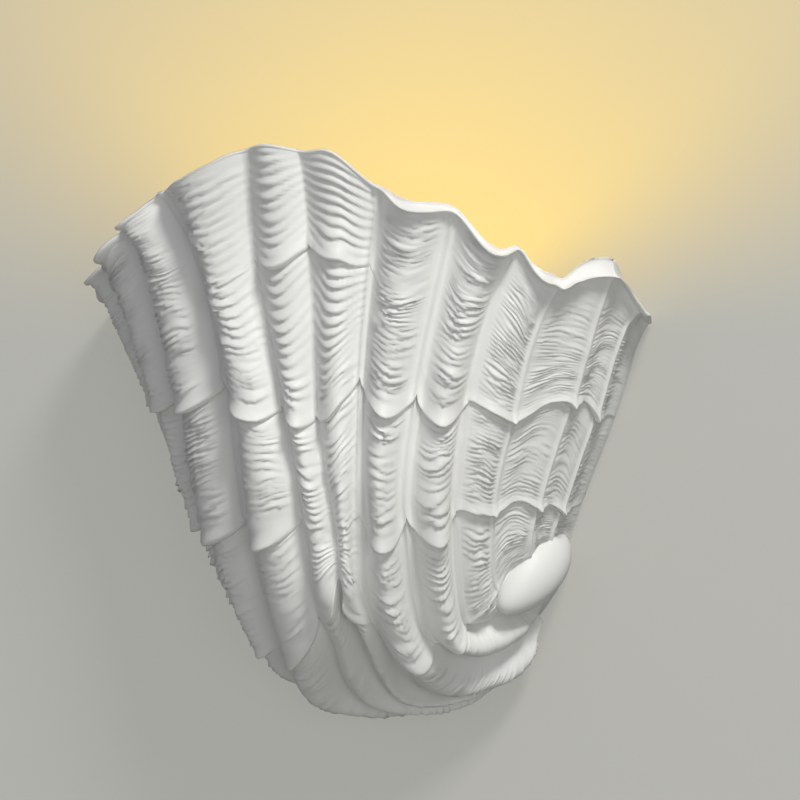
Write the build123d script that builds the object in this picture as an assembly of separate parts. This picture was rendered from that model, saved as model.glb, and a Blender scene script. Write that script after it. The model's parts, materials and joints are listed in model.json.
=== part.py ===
from build123d import *

import math
import os

import numpy as np

# Shell wall sconce, in millimetres. The wall is the plane Y = 0 and the light stands out towards
# -Y, with +X to the right of someone who faces the wall. The origin is on the wall, midway between
# the two fixing slots of the wall plate.

# --- Driving dimensions: the shell ------------------------------------------------------------
SHELL_WIDTH = 396  # at the rim, between the shell's two edges; its height keeps step with it
SHELL_DEPTH = 152  # of the lines, out of the wall
WALL = 9  # thickness of the casting
BACK_GAP = 1.5  # from the wall to the casting's back edge
EDGE_ZONE = 8  # closer to the wall than this, the ribs' relief never goes nearer to it
RIM_FLARE = 4  # how far the lip rolls outwards
KNOB_LOW_END = (121, 56, -129)  # the smooth beak knob, as (x, depth, height) of its two ends
KNOB_HIGH_END = (136, 8, -86)
KNOB_RADIUS = 17
KNOB_RISE = 11
POINTS_PER_RIB = 4
SECTION_COUNT = 21
CUT_LINES = (0, 3, 6, 8, 10, 13)  # the lines where the skins are cut into faces
HOLLOW_FROM = 3  # the section where the bowl's hollow starts; the beak below it is solid
FIRST_STAGE = 0.05  # where the skins start, close to the beak

# The shell is drawn as a hull is: by lines that follow its ribs from the beak, low on the right,
# to the rim. Each line is given at the same stages of growth, as (x, depth, height), drawn for a
# shell of this width and depth.
DRAWN_WIDTH = 396
DRAWN_DEPTH = 152
STEP_4 = 3  # where step 4 stands in each line
BEAK = (125, 4, -124)
HEART = (35, 45, -75)  # the middle of the bowl's lower part
GROWTH = (0.0, 0.06, 0.13, 0.21, 0.30, 0.48, 0.67, 0.86, 1.0)
LINES = {
    "right_edge": (
        (129, 0, -116), (132, 0, -110), (134, 0, -105), (136, 0, -100),
        (147, 0, -68), (171, 0, -12), (184, 0, 26), (192, 0, 54),
    ),
    "crest_a": (
        (129, 8, -116), (132, 15, -109), (135, 22, -99), (137, 28, -90),
        (146, 30, -68), (171, 30, -5), (188, 30, 42), (198, 26, 66),
    ),
    "crest_b": (
        (126, 14, -118), (127, 26, -112), (129, 37, -105), (131, 47, -98),
        (141, 54, -64), (166, 55, 3), (179, 57, 38), (195, 58, 93),
    ),
    "crest_c": (
        (123, 16, -124), (120, 34, -123), (116, 50, -122), (114, 63, -120),
        (124, 84, -66), (142, 90, -7), (157, 91, 42), (174, 87, 84),
    ),
    "groove_a": (
        (120, 17, -131), (113, 36, -138), (104, 54, -145), (98, 69, -145),
        (108, 104, -70), (122, 113, 0), (141, 112, 64), (157, 106, 96),
    ),
    "groove_b": (
        (118, 12, -141), (109, 26, -159), (91, 44, -170), (78, 77, -158),
        (83, 125, -76), (94, 132, 4), (111, 132, 80), (122, 130, 126),
    ),
    "groove_c": (
        (114, 8, -152), (88, 20, -187), (51, 43, -191), (50, 100, -156),
        (56, 139, -74), (60, 147, 14), (66, 147, 87), (73, 146, 141),
    ),
    "groove_d": (
        (112, 7, -154), (80, 16, -192), (33, 50, -196), (38, 118, -137),
        (38, 143, -82), (30, 151, -11), (25, 152, 100), (20, 152, 162),
    ),
    "groove_e": (
        (110, 6, -156), (71, 13, -195), (8, 48, -198), (15, 108, -156),
        (15, 145, -77), (5, 152, -3), (-16, 152, 91), (-20, 151, 165),
    ),
    "groove_f": (
        (109, 4, -158), (64, 10, -197), (-25, 46, -190), (-30, 84, -162),
        (-33, 134, -78), (-44, 143, 12), (-69, 141, 94), (-97, 134, 138),
    ),
    "groove_g": (
        (108, 3, -160), (57, 7, -198), (-36, 34, -182), (-54, 66, -152),
        (-83, 95, -74), (-100, 110, 2), (-124, 116, 86), (-137, 113, 115),
    ),
    "groove_h": (
        (107, 2, -161), (51, 5, -198), (-43, 22, -178), (-66, 46, -148),
        (-98, 72, -72), (-132, 78, 8), (-161, 76, 64), (-168, 84, 95),
    ),
    "groove_i": (
        (106, 1, -162), (47, 2, -198), (-48, 10, -174), (-73, 24, -146),
        (-108, 38, -76), (-149, 42, 4), (-179, 42, 56), (-194, 46, 86),
    ),
    "left_edge": (
        (105, 0, -163), (42, 0, -198), (-51, 0, -170), (-77, 0, -146),
        (-113, 0, -78), (-152, 0, 0), (-183, 0, 52), (-204, 0, 74),
    ),
}
# At the rim: how far each line stands out of the body (below 0 it is a groove), and how far the
# surface bulges between it and the next line, outwards and upwards.
LINE_RELIEF = (0, 2, 2, 1, -4, -4, -8, -4, -4, -6, -6, -5, -4, 0)
BULGE_OUT = (-2, -3, -4, 3, 9, 11, 6, 6, 11, 10, 8, 8, 5)
BULGE_UP = (0, 0, 1, -2, -9, -5, 8, 1, -7, -6, -2, -2, 0)

# --- Driving dimensions: the fittings ----------------------------------------------------------
CLEAR = 0.05  # radial clearance of a fitted hole
FREE = 0.5  # radial clearance of a loose hole

PLATE_TOP = 45
PLATE_BOTTOM = -66
PLATE_THICK = 2.5
PLATE_CORNER = 16
SLOT_SPACING = 120
SLOT_LENGTH = 12
SLOT_WIDTH = 5.5

HOOK_WIDTH = 14
HOOK_INSET = 13  # from a hook's middle to the plate's end
HOOK_TO_BOSS = 36  # from a hook's middle to the nearer boss's screws
HOOK_SHELF = 10  # height of the shelf that the shell hangs on
HOOK_LIP = 12  # how far the lip stands above the shelf
HANGER_THICK = 2
HANGER_GAP = 1.5  # between the plate and the hanger, and between the hanger and the hook's lip
HANGER_LIFT = 14  # how far the shell is lifted to free it
HANGER_TOP = 26
HANGER_BAR_BOTTOM = 2
HANGER_SCREW_HEIGHTS = (8, 20)
HANGER_CORNER = 3
HOOK_CUT = 22  # height of the opening that the hook is bent out of
WINDOW_SIDE = 1  # clearance beside the hook
WINDOW_FRAME = 5
PADS = ((-1, 40), (-1, -60), (1, 40), (1, -60))
PAD_RADIUS = 4
INSERT_RADIUS = 3.5
INSERT_LENGTH = 12
BOSS_DEPTH = 28
BOSS_INSET = 32  # from the shell's back edge to the boss's screws
BOSS_MARGIN = 10
INSERT_HOLE_DEPTH = 14
BOSS_SINK = 6  # how far inside the shell's back edge a boss joins the wall
SCREW_RADIUS = 2
HEAD_RADIUS = 3.9
HEAD_HEIGHT = 2.2
SMALL_SCREW = 1.5
SMALL_HEAD = 2.75
SCREW_END = 0.3  # a screw in the plate stops this short of the wall

LAMP_X = 15
LAMP_Y = -72
BRACKET_WIDTH = 40
BRACKET_THICK = 2.5
BRACKET_CORNER = 8
BRACKET_TOP = -34
BRACKET_SHELF = -69.5  # height of the bracket's upper face
BRACKET_REACH = 22  # beyond the lamp's axis
BRACKET_SCREWS = 20  # spacing
BRACKET_SCREW_HEIGHT = -44
WASHER_THICK = 1
WASHER_RADIUS = 4.5

NIPPLE_RADIUS = 5
NIPPLE_BORE = 3.5
NIPPLE_CHAMFER = 0.6
NIPPLE_WASHER_RADIUS = 8.5
NIPPLE_NUT_RADIUS = 8  # across its corners
NIPPLE_NUT_HEIGHT = 3.5
NIPPLE_SHOWS = 3
NIPPLE_TO_CORE = 3
HOLDER_FLOOR = 4
HOLDER_FOOT = 10  # radius of the flat foot on the bracket
HOLDER_SHOULDER = 16
HOLDER_SHOULDER_RISE = 10
HOLDER_BAND = 6  # height of the plain band above the joint
HOLDER_WAIST = 1.2  # how far the skirt is drawn in above the band
HOLDER_RADIUS = 22
HOLDER_WALL = 2.4
HOLDER_SPLIT = -42  # where the holder's two halves meet
HOLDER_TOP = -3
CORE_BOTTOM = -52
CORE_FLOOR = -36.5
CORE_TOP = -6
CAP_PLAY = 0.65  # radial clearance of the lamp's cap in the sleeve
SLEEVE_WALL = 0.5
SLEEVE_TOP = -7
CONTACT_THICK = 0.5
CONTACT_WIDTH = 5
CONTACT_HEEL = 3  # from the lamp's axis to the bend
CONTACT_FOOT = 6
CONTACT_REACH = 5  # beyond the lamp's axis

BULB_TIP = -34
TIP_HEIGHT = 1.6
TIP_RADIUS = 4.4
INSULATOR_HEIGHT = 3.4
INSULATOR_RADIUS = 9.4
CAP_RADIUS = 13.1
CAP_WALL = 0.6
CAP_SHOULDER = 3
CAP_LENGTH = 23
BULB_RADIUS = 30
BULB_TOP = 73
COLLAR_TOP = 22
COLLAR_RADIUS = 25.5
COLLAR_RECESS = 2  # depth of the seat for the light board
GLASS = 1.2
GLASS_SETBACK = 0.3  # from the collar's edge to the glass
BOARD_THICK = 1.6
BOARD_RADIUS = 20

BLOCK_LEFT = -64
BLOCK_TOP = -14
BLOCK_HEIGHT = 16
BLOCK_DEPTH = 13
POLE_PITCH = 11
POLE_INSET = 6
POLE_SCREW_INSET = 4  # from the block's top and bottom
POLE_SCREW_SINK = 0.5
BLOCK_ROUND = 1.5
BLOCK_SCREW_SINK = 3
BLOCK_SCREW_HEAD = 2
SLOT_CUT = 0.6  # width of the slot in a terminal screw
TUBE_RADIUS = 2.2
LEAD_RADIUS = 1.2
LEAD_GAP = 3.2  # between the two leads in the nipple
LEAD_IN = 6  # how far a lead goes into the terminal block
LEAD_DROP = 26  # how far the leads hang below the bracket
EARTH_X = 70
EARTH_HEIGHT = -50
EARTH_NUT = 3.2
EARTH_NUT_RADIUS = 4  # across its corners
STUD_SHOWS = 3
RING_THICK = 0.8
RING_RADIUS = 4.5
RING_BARREL = 2
RING_BARREL_LENGTH = 6
RING_TO_BARREL = 7  # from the stud to the barrel's middle
RING_TONGUE = 4
GROMMET_X = -30
GROMMET_HEIGHT = 26
GROMMET_BORE = 4
GROMMET_RADIUS = 7
GROMMET_FLANGE = 2
GROMMET_FLANGE_RADIUS = 9.5
GROMMET_ROUND = 0.9
CLAMP_X = -38
CLAMP_HEIGHT = 8
CABLE_RADIUS = 3.5
CLAMP_SPACING = 20
CLAMP_WIDTH = 9
CLAMP_THICK = 1.5
CLAMP_END = 3.5  # from a clamp screw to the strip's end
CLAMP_HEAD = 1.8
CABLE_FREE = 0.3


def edge_out(side, height):
    """How far to one side the shell's back edge is at a height."""
    line = LINES["left_edge" if side < 0 else "right_edge"][STEP_4:]
    scale = SHELL_WIDTH / DRAWN_WIDTH
    heights = [point[2] * scale for point in line]
    return abs(np.interp(height, heights, [point[0] * scale for point in line]))


BOSS_HEIGHT = sum(HANGER_SCREW_HEIGHTS) / 2
BOSS_CENTRE = {side: edge_out(side, BOSS_HEIGHT) - BOSS_INSET for side in (-1, 1)}
HOOK_X = min(BOSS_CENTRE.values()) - HOOK_TO_BOSS
PLATE_WIDTH = 2 * (HOOK_X + HOOK_INSET)
PLATE_FRONT = -PLATE_THICK
HANGER_BACK = PLATE_FRONT - HANGER_GAP
HANGER_FRONT = HANGER_BACK - HANGER_THICK
LIP_BACK = HANGER_FRONT - HANGER_GAP
HOOK_TOP = HOOK_SHELF + PLATE_THICK / 2
HOOK_UNDER = HOOK_SHELF - PLATE_THICK / 2
POLES = [BLOCK_LEFT + POLE_INSET + POLE_PITCH * i for i in range(3)]
POLE_Y = PLATE_FRONT - BLOCK_DEPTH / 2
BLOCK_WIDTH = 2 * POLE_INSET + 2 * POLE_PITCH
BLOCK_BOTTOM = BLOCK_TOP - BLOCK_HEIGHT
RING_BARREL_Y = PLATE_FRONT - WASHER_THICK - RING_BARREL
EARTH_NUT_FRONT = PLATE_FRONT - WASHER_THICK - RING_THICK - EARTH_NUT
BLOCK_FRONT = PLATE_FRONT - BLOCK_DEPTH
BLOCK_MIDDLE = BLOCK_TOP - BLOCK_HEIGHT / 2
BRACKET_FRONT = PLATE_FRONT - BRACKET_THICK
BRACKET_UNDER = BRACKET_SHELF - BRACKET_THICK
CAP_BOTTOM = BULB_TIP + TIP_HEIGHT + INSULATOR_HEIGHT
CAP_TOP = CAP_BOTTOM + CAP_LENGTH
SLEEVE_BORE = CAP_RADIUS + CAP_PLAY


# --- Shared shapes -----------------------------------------------------------------------------
def block(x0, x1, y0, y1, z0, z1):
    """A box between two corners."""
    size = Box(abs(x1 - x0), abs(y1 - y0), abs(z1 - z0))
    return Pos((x0 + x1) / 2, (y0 + y1) / 2, (z0 + z1) / 2) * size


def post(x, y, z0, z1, radius):
    """An upright round bar."""
    return Pos(x, y, (z0 + z1) / 2) * Cylinder(radius, abs(z1 - z0))


def peg(x, z, y0, y1, radius):
    """A round bar that stands out of the wall, along Y."""
    return Pos(x, (y0 + y1) / 2, z) * Rot(90, 0, 0) * Cylinder(radius, abs(y1 - y0))


def hexagon(radius, height):
    """A hexagonal bar, radius across its corners, with its axis along Z."""
    return extrude(RegularPolygon(radius, 6), height / 2, both=True)


def turned(profile):
    """A solid of revolution about the lamp's axis, from (radius, height) points."""
    points = [(radius, 0, height) for radius, height in profile]
    face = make_face(Polyline(*points, close=True))
    return Pos(LAMP_X, LAMP_Y, 0) * revolve(face, Axis.Z)


def pan_screw(x, z, seat, tip, radius=SCREW_RADIUS, head=HEAD_RADIUS, height=HEAD_HEIGHT, forward=True):
    """A pan-head screw along Y: its head lies on the face at seat, its end is at tip."""
    out = -height if forward else height
    screw = peg(x, z, seat, tip, radius) + peg(x, z, seat + out, seat, head)
    slot = block(x - head, x + head, seat + out, seat + out * 0.6, z - 0.4, z + 0.4)
    return screw - slot


def write(shape, name):
    """One sub-part to one file; solids that are alike share it."""
    shape.label = name
    export_step(shape, f"parts/{name}.step")


# --- The shell's surface -----------------------------------------------------------------------
def smooth(x):
    """0 to 1, with level ends."""
    x = np.clip(x, 0, 1)
    return x * x * (3 - 2 * x)


def curve_through(x, knots, values):
    """A smooth curve of vectors through values at knots, for an array x."""
    knots = np.asarray(knots, float)
    values = np.asarray(values, float)
    step = np.diff(knots)[:, None]
    slope = np.diff(values, axis=0) / step
    tangent = np.empty_like(values)
    tangent[1:-1] = (slope[:-1] * step[1:] + slope[1:] * step[:-1]) / (step[:-1] + step[1:])
    tangent[0] = 1.5 * slope[0] - 0.5 * tangent[1]
    tangent[-1] = 1.5 * slope[-1] - 0.5 * tangent[-2]
    i = np.clip(np.searchsorted(knots, x, side="right") - 1, 0, len(knots) - 2)
    h = step[i]
    q = ((x - knots[i]) / h[:, 0])[:, None]
    return (
        (1 + 2 * q) * (1 - q) ** 2 * values[i]
        + q * (1 - q) ** 2 * h * tangent[i]
        + q * q * (3 - 2 * q) * values[i + 1]
        + q * q * (q - 1) * h * tangent[i + 1]
    )


def line_places():
    """Where each line lies across the shell: 0 at the right edge, 1 at the left edge."""
    halfway = GROWTH.index(0.67) - 1
    points = np.array([line[halfway] for line in LINES.values()], float)
    places = np.concatenate([[0], np.cumsum(np.linalg.norm(np.diff(points, axis=0), axis=1))])
    return places / places[-1]


def body_points(across, growth):
    """The smooth body under the ribs, as an array [across, growth, xyz]."""
    rows = []
    for name, line in LINES.items():
        points = np.array((BEAK,) + line, float)
        if name.endswith("_edge"):
            points[0, 1] = 0
        rows.append(curve_through(growth, GROWTH, points))
    rows = np.array(rows)
    columns = [curve_through(across, line_places(), rows[:, j]) for j in range(len(growth))]
    body = np.stack(columns, axis=1)
    body[..., 1] = -np.hypot(body[..., 1], BACK_GAP)
    return body


def rib_bulge(across, heights):
    """A smooth bulge of the given height between each line and the next."""
    places = line_places()
    k = np.clip(np.searchsorted(places, across, side="right") - 1, 0, len(places) - 2)
    s = (across - places[k]) / (places[k + 1] - places[k])
    return np.array(heights, float)[k] * np.sin(np.pi * s) ** 2


def knob_rise(points):
    """The beak's smooth knob, as a height over the body."""
    low = np.array(KNOB_LOW_END, float) * (1, -1, 1)
    high = np.array(KNOB_HIGH_END, float) * (1, -1, 1)
    along = high - low
    half = np.linalg.norm(along) / 2
    offset = points - (low + high) / 2
    run = offset @ (along / (2 * half))
    aside = np.sqrt(np.maximum((offset**2).sum(axis=-1) - run**2, 0))
    inside = 1 - (run / half) ** 2 - (aside / KNOB_RADIUS) ** 2
    return KNOB_RISE * np.sqrt(np.clip(inside, 0, 1))


def shell_points(across, growth, inset):
    """A skin of the shell, inset from its outer face, as an array [across, growth, xyz].

    The inset is towards the bowl's heart, and higher up towards the middle of its open back, so
    that the two skins never cross.
    """
    body = body_points(across, growth)
    along = np.gradient(body, growth, axis=1)
    over = np.gradient(body, across, axis=0)
    normal = np.cross(along, over)
    normal /= np.linalg.norm(normal, axis=2)[..., None]
    lines = np.interp(across, line_places(), LINE_RELIEF)
    size = smooth(growth / 0.2) * (0.2 + 0.8 * growth)
    lift = (lines + rib_bulge(across, BULGE_OUT))[:, None] * size
    lift = lift + RIM_FLARE * smooth((growth - 0.88) / 0.12) + knob_rise(body)
    skin = body + normal * lift[..., None]
    skin[..., 2] += rib_bulge(across, BULGE_UP)[:, None] * smooth((growth - 0.7) / 0.3)
    wide, deep = SHELL_WIDTH / DRAWN_WIDTH, SHELL_DEPTH / DRAWN_DEPTH
    skin *= (wide, deep, wide)
    depth = -body[..., 1] * deep
    least = np.maximum(depth * (1 - smooth(depth / EDGE_ZONE - 1)), BACK_GAP)
    skin[..., 1] = np.minimum(skin[..., 1], -least)
    skin[[0, -1], :, 1] = -BACK_GAP
    back = smooth((growth - 0.1) / 0.5)[:, None]
    heart = np.array(HEART, float) * (wide, -deep, wide)
    inward = (skin[0] + skin[-1]) / 2 * back + heart * (1 - back) - skin
    inward[[0, -1], :, 1] = 0
    inward /= np.linalg.norm(inward, axis=2)[..., None]
    return skin + inward * (inset * smooth(0.3 + growth / 0.12))[:, None]


SECTION_PLACES = np.interp(
    np.linspace(0, len(LINES) - 1, POINTS_PER_RIB * (len(LINES) - 1) + 1),
    range(len(LINES)),
    line_places(),
)
SECTION_STAGES = np.linspace(FIRST_STAGE, 1, SECTION_COUNT)


def sections(inset):
    """The skin's curves at each stage of growth, cut in pieces at some lines, and their points."""
    rows = shell_points(SECTION_PLACES, SECTION_STAGES, inset)
    slopes = np.gradient(rows, SECTION_PLACES, axis=0)
    cuts = [line * POINTS_PER_RIB for line in CUT_LINES]
    points = [[Vector(*point) for point in rows[:, j].tolist()] for j in range(rows.shape[1])]
    curves = []
    for j, row in enumerate(points):
        ends = [Vector(*slope) for slope in slopes[:, j].tolist()]
        pieces = []
        for low, high in zip(cuts, cuts[1:]):
            places = SECTION_PLACES[low:high + 1].tolist()
            tangents = (ends[low], ends[high])
            pieces.append(Edge.make_spline(row[low:high + 1], tangents, parameters=places, scale=False))
        curves.append(pieces)
    return curves, points


def ruled(low, high):
    """Straight-ruled faces between two curves that are cut in like pieces."""
    return [Face.make_surface_from_curves(a, b) for a, b in zip(low, high)]


def chord(points):
    """The straight line between a row's two ends, cut where the row is."""
    start, end = points[0], points[-1]
    shares = [SECTION_PLACES[line * POINTS_PER_RIB] for line in CUT_LINES]
    stops = [start + (end - start) * float(share) for share in shares]
    return [Edge.make_line(a, b) for a, b in zip(stops, stops[1:])]


def closed_skin():
    """The shell as one closed solid, hollow from one section on and solid below it at the beak."""
    outer, outer_points = sections(0)
    inner, inner_points = sections(WALL)
    faces = ruled(outer[-1], inner[-1])
    faces += ruled(outer[0], chord(outer_points[0]))
    faces += ruled(inner[HOLLOW_FROM], chord(inner_points[HOLLOW_FROM]))
    for j in range(len(outer) - 1):
        faces += ruled(outer[j], outer[j + 1])
    for j in range(HOLLOW_FROM, len(inner) - 1):
        faces += ruled(inner[j], inner[j + 1])
        for end in (0, -1):
            across = [Edge.make_line(outer_points[i][end], inner_points[i][end]) for i in (j, j + 1)]
            faces.append(Face.make_surface_from_curves(*across))
    right = [outer_points[j][0] for j in range(HOLLOW_FROM + 1)]
    left = [outer_points[j][-1] for j in range(HOLLOW_FROM, -1, -1)]
    middle = [inner_points[HOLLOW_FROM][end] for end in (0, -1)]
    faces.append(make_face(Polyline(*right, *middle, *left, close=True)))
    return Solid(Shell(faces))


def boss(side):
    """The block cast inside the wall that one hanger is screwed to."""
    inner = side * (BOSS_CENTRE[side] - BOSS_MARGIN)
    low = side * (edge_out(side, HANGER_BAR_BOTTOM) - BOSS_SINK)
    high = side * (edge_out(side, HANGER_TOP) - BOSS_SINK)
    corners = (
        (inner, 0, HANGER_BAR_BOTTOM),
        (low, 0, HANGER_BAR_BOTTOM),
        (high, 0, HANGER_TOP),
        (inner, 0, HANGER_TOP),
    )
    outline = make_face(Polyline(*corners, close=True))
    return Pos(0, HANGER_FRONT, 0) * extrude(outline, BOSS_DEPTH, dir=(0, -1, 0))


def shell_casting():
    casting = closed_skin()
    for side in (-1, 1):
        casting += boss(side)
    for side, height in boss_screws():
        x = side * BOSS_CENTRE[side]
        casting -= peg(x, height, HANGER_FRONT, HANGER_FRONT - INSERT_HOLE_DEPTH, INSERT_RADIUS + CLEAR)
    return casting


def boss_screws():
    return [(side, height) for side in (-1, 1) for height in HANGER_SCREW_HEIGHTS]


def threaded_inserts():
    inserts = []
    for side, height in boss_screws():
        x = side * BOSS_CENTRE[side]
        insert = peg(x, height, HANGER_FRONT, HANGER_FRONT - INSERT_LENGTH, INSERT_RADIUS)
        insert -= peg(x, height, HANGER_FRONT, HANGER_FRONT - INSERT_LENGTH, SCREW_RADIUS + CLEAR)
        inserts.append(insert)
    return Compound(children=inserts)


def hanger(side):
    """A strap on the shell's back, with the window that drops over the plate's hook."""
    opening = HOOK_WIDTH / 2 + WINDOW_SIDE
    margin = opening + WINDOW_FRAME
    window_bottom = HOOK_UNDER - HANGER_LIFT - WINDOW_SIDE
    frame_bottom = window_bottom - WINDOW_FRAME
    inner, outer = side * (HOOK_X - margin), side * (HOOK_X + margin)
    end = side * (BOSS_CENTRE[side] + BOSS_MARGIN)
    strap = block(inner, end, HANGER_FRONT, HANGER_BACK, HANGER_BAR_BOTTOM, HANGER_TOP)
    strap += block(inner, outer, HANGER_FRONT, HANGER_BACK, frame_bottom, HANGER_TOP)
    window = block(
        side * (HOOK_X - opening), side * (HOOK_X + opening),
        HANGER_FRONT - 1, HANGER_BACK + 1, window_bottom, HOOK_TOP,
    )
    strap = fillet(strap.edges().filter_by(Axis.Y), HANGER_CORNER)
    strap -= window
    for height in HANGER_SCREW_HEIGHTS:
        x = side * BOSS_CENTRE[side]
        strap -= peg(x, height, HANGER_FRONT - 1, HANGER_BACK + 1, SCREW_RADIUS + FREE)
    return strap


def hanger_screws():
    tip = HANGER_FRONT - INSERT_LENGTH + 1
    screws = []
    for side, height in boss_screws():
        screws.append(pan_screw(side * BOSS_CENTRE[side], height, HANGER_BACK, tip, forward=False))
    return Compound(children=screws)


def back_pads():
    """Felt pads between the casting's back edge and the wall."""
    pads = []
    for side, height in PADS:
        x = side * (edge_out(side, height) - WALL / 2)
        pads.append(peg(x, height, -BACK_GAP, 0, PAD_RADIUS))
    return Compound(children=pads)


def wall_plate():
    outline = RectangleRounded(PLATE_WIDTH, PLATE_TOP - PLATE_BOTTOM, PLATE_CORNER)
    centre = Plane(origin=(0, 0, (PLATE_TOP + PLATE_BOTTOM) / 2), x_dir=(1, 0, 0), z_dir=(0, -1, 0))
    plate = extrude(centre * outline, PLATE_THICK)
    slot = extrude(centre * SlotOverall(SLOT_LENGTH, SLOT_WIDTH), PLATE_THICK + 1)
    for side in (-1, 1):
        plate -= Pos(side * SLOT_SPACING / 2, 0.5, -centre.origin.Z) * slot
        x = side * HOOK_X
        left, right = x - HOOK_WIDTH / 2, x + HOOK_WIDTH / 2
        plate -= block(left, right, PLATE_FRONT - 1, 1, HOOK_TOP, HOOK_TOP + HOOK_CUT)
        plate += block(left, right, LIP_BACK - PLATE_THICK, PLATE_FRONT, HOOK_UNDER, HOOK_TOP)
        plate += block(left, right, LIP_BACK - PLATE_THICK, LIP_BACK, HOOK_UNDER, HOOK_TOP + HOOK_LIP)
    plate -= peg(GROMMET_X, GROMMET_HEIGHT, PLATE_FRONT - 1, 1, GROMMET_RADIUS + CLEAR)
    plate -= peg(EARTH_X, EARTH_HEIGHT, PLATE_FRONT - 1, 1, SCREW_RADIUS + CLEAR)
    for x, height in bracket_holes():
        plate -= peg(x, height, PLATE_FRONT - 1, 1, SCREW_RADIUS + CLEAR)
    for x in clamp_holes():
        plate -= peg(x, CLAMP_HEIGHT, PLATE_FRONT - 1, 1, SMALL_SCREW + CLEAR)
    plate -= peg(block_screw_x(), BLOCK_MIDDLE, PLATE_FRONT - 1, 1, SMALL_SCREW + CLEAR)
    return plate


def bracket_holes():
    return [(LAMP_X + side * BRACKET_SCREWS / 2, BRACKET_SCREW_HEIGHT) for side in (-1, 1)]


def clamp_holes():
    return [CLAMP_X + side * CLAMP_SPACING / 2 for side in (-1, 1)]


def block_screw_x():
    return POLES[0] + POLE_PITCH / 2


def cable_grommet():
    grommet = peg(GROMMET_X, GROMMET_HEIGHT, PLATE_FRONT, 0, GROMMET_RADIUS)
    front = PLATE_FRONT - GROMMET_FLANGE
    flange = peg(GROMMET_X, GROMMET_HEIGHT, front, PLATE_FRONT, GROMMET_FLANGE_RADIUS)
    rim = flange.edges().filter_by(GeomType.CIRCLE).sort_by(Axis.Y)[0]
    grommet += fillet(rim, GROMMET_ROUND)
    grommet -= peg(GROMMET_X, GROMMET_HEIGHT, front - 1, 1, GROMMET_BORE)
    return grommet


def lamp_bracket():
    left, right = LAMP_X - BRACKET_WIDTH / 2, LAMP_X + BRACKET_WIDTH / 2
    leg = block(left, right, BRACKET_FRONT, PLATE_FRONT, BRACKET_UNDER, BRACKET_TOP)
    shelf = block(left, right, LAMP_Y - BRACKET_REACH, PLATE_FRONT, BRACKET_UNDER, BRACKET_SHELF)
    bracket = leg + shelf
    bend = bracket.edges().filter_by(Axis.X).group_by(Axis.Z)[0].sort_by(Axis.Y)[-1]
    bracket = fillet(bend, BRACKET_THICK * 0.9)
    corners = bracket.edges().filter_by(Axis.Z).sort_by(Axis.Y)[:2]
    bracket = fillet(corners, BRACKET_CORNER)
    top_corners = bracket.edges().filter_by(Axis.Y).group_by(Axis.Z)[-1]
    bracket = fillet(top_corners, BRACKET_THICK)
    bracket -= post(LAMP_X, LAMP_Y, BRACKET_UNDER - 1, BRACKET_SHELF + 1, NIPPLE_RADIUS + CLEAR)
    for x, height in bracket_holes():
        bracket -= peg(x, height, BRACKET_FRONT - 1, PLATE_FRONT + 1, SCREW_RADIUS + FREE / 2)
    return bracket


def bracket_screws():
    seat = BRACKET_FRONT - WASHER_THICK
    return Compound(children=[pan_screw(x, height, seat, -SCREW_END) for x, height in bracket_holes()])


def washer(x, height, back):
    """A washer that lies on the face at back."""
    ring = peg(x, height, back - WASHER_THICK, back, WASHER_RADIUS)
    return ring - peg(x, height, back - WASHER_THICK - 1, back + 1, SCREW_RADIUS + FREE / 2)


def bracket_washers():
    return Compound(children=[washer(x, height, BRACKET_FRONT) for x, height in bracket_holes()])


def threaded_nipple():
    low = BRACKET_UNDER - WASHER_THICK - NIPPLE_NUT_HEIGHT - NIPPLE_SHOWS
    high = CORE_BOTTOM - NIPPLE_TO_CORE
    nipple = post(LAMP_X, LAMP_Y, low, high, NIPPLE_RADIUS)
    nipple = chamfer(nipple.edges().filter_by(GeomType.CIRCLE), NIPPLE_CHAMFER)
    return nipple - post(LAMP_X, LAMP_Y, low - 1, high + 1, NIPPLE_BORE)


def nipple_washer():
    low = BRACKET_UNDER - WASHER_THICK
    ring = post(LAMP_X, LAMP_Y, low, BRACKET_UNDER, NIPPLE_WASHER_RADIUS)
    return ring - post(LAMP_X, LAMP_Y, low - 1, BRACKET_UNDER + 1, NIPPLE_RADIUS + FREE / 2)


def nipple_nut():
    middle = BRACKET_UNDER - WASHER_THICK - NIPPLE_NUT_HEIGHT / 2
    nut = Pos(LAMP_X, LAMP_Y, middle) * hexagon(NIPPLE_NUT_RADIUS, NIPPLE_NUT_HEIGHT)
    reach = NIPPLE_NUT_HEIGHT
    return nut - post(LAMP_X, LAMP_Y, middle - reach, middle + reach, NIPPLE_RADIUS + CLEAR)


def lampholder_cap():
    """The lower half of the lampholder, screwed on to the nipple."""
    bore = NIPPLE_RADIUS + CLEAR
    inner = HOLDER_RADIUS - HOLDER_WALL
    floor = BRACKET_SHELF + HOLDER_FLOOR
    shoulder = floor + HOLDER_SHOULDER_RISE
    outline = (
        (bore, BRACKET_SHELF), (HOLDER_FOOT, BRACKET_SHELF), (HOLDER_SHOULDER, floor),
        (HOLDER_RADIUS, shoulder), (HOLDER_RADIUS, HOLDER_SPLIT), (inner, HOLDER_SPLIT),
        (inner, shoulder), (HOLDER_SHOULDER - HOLDER_WALL, floor + HOLDER_WALL),
        (bore, floor + HOLDER_WALL),
    )
    return turned(outline)


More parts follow.
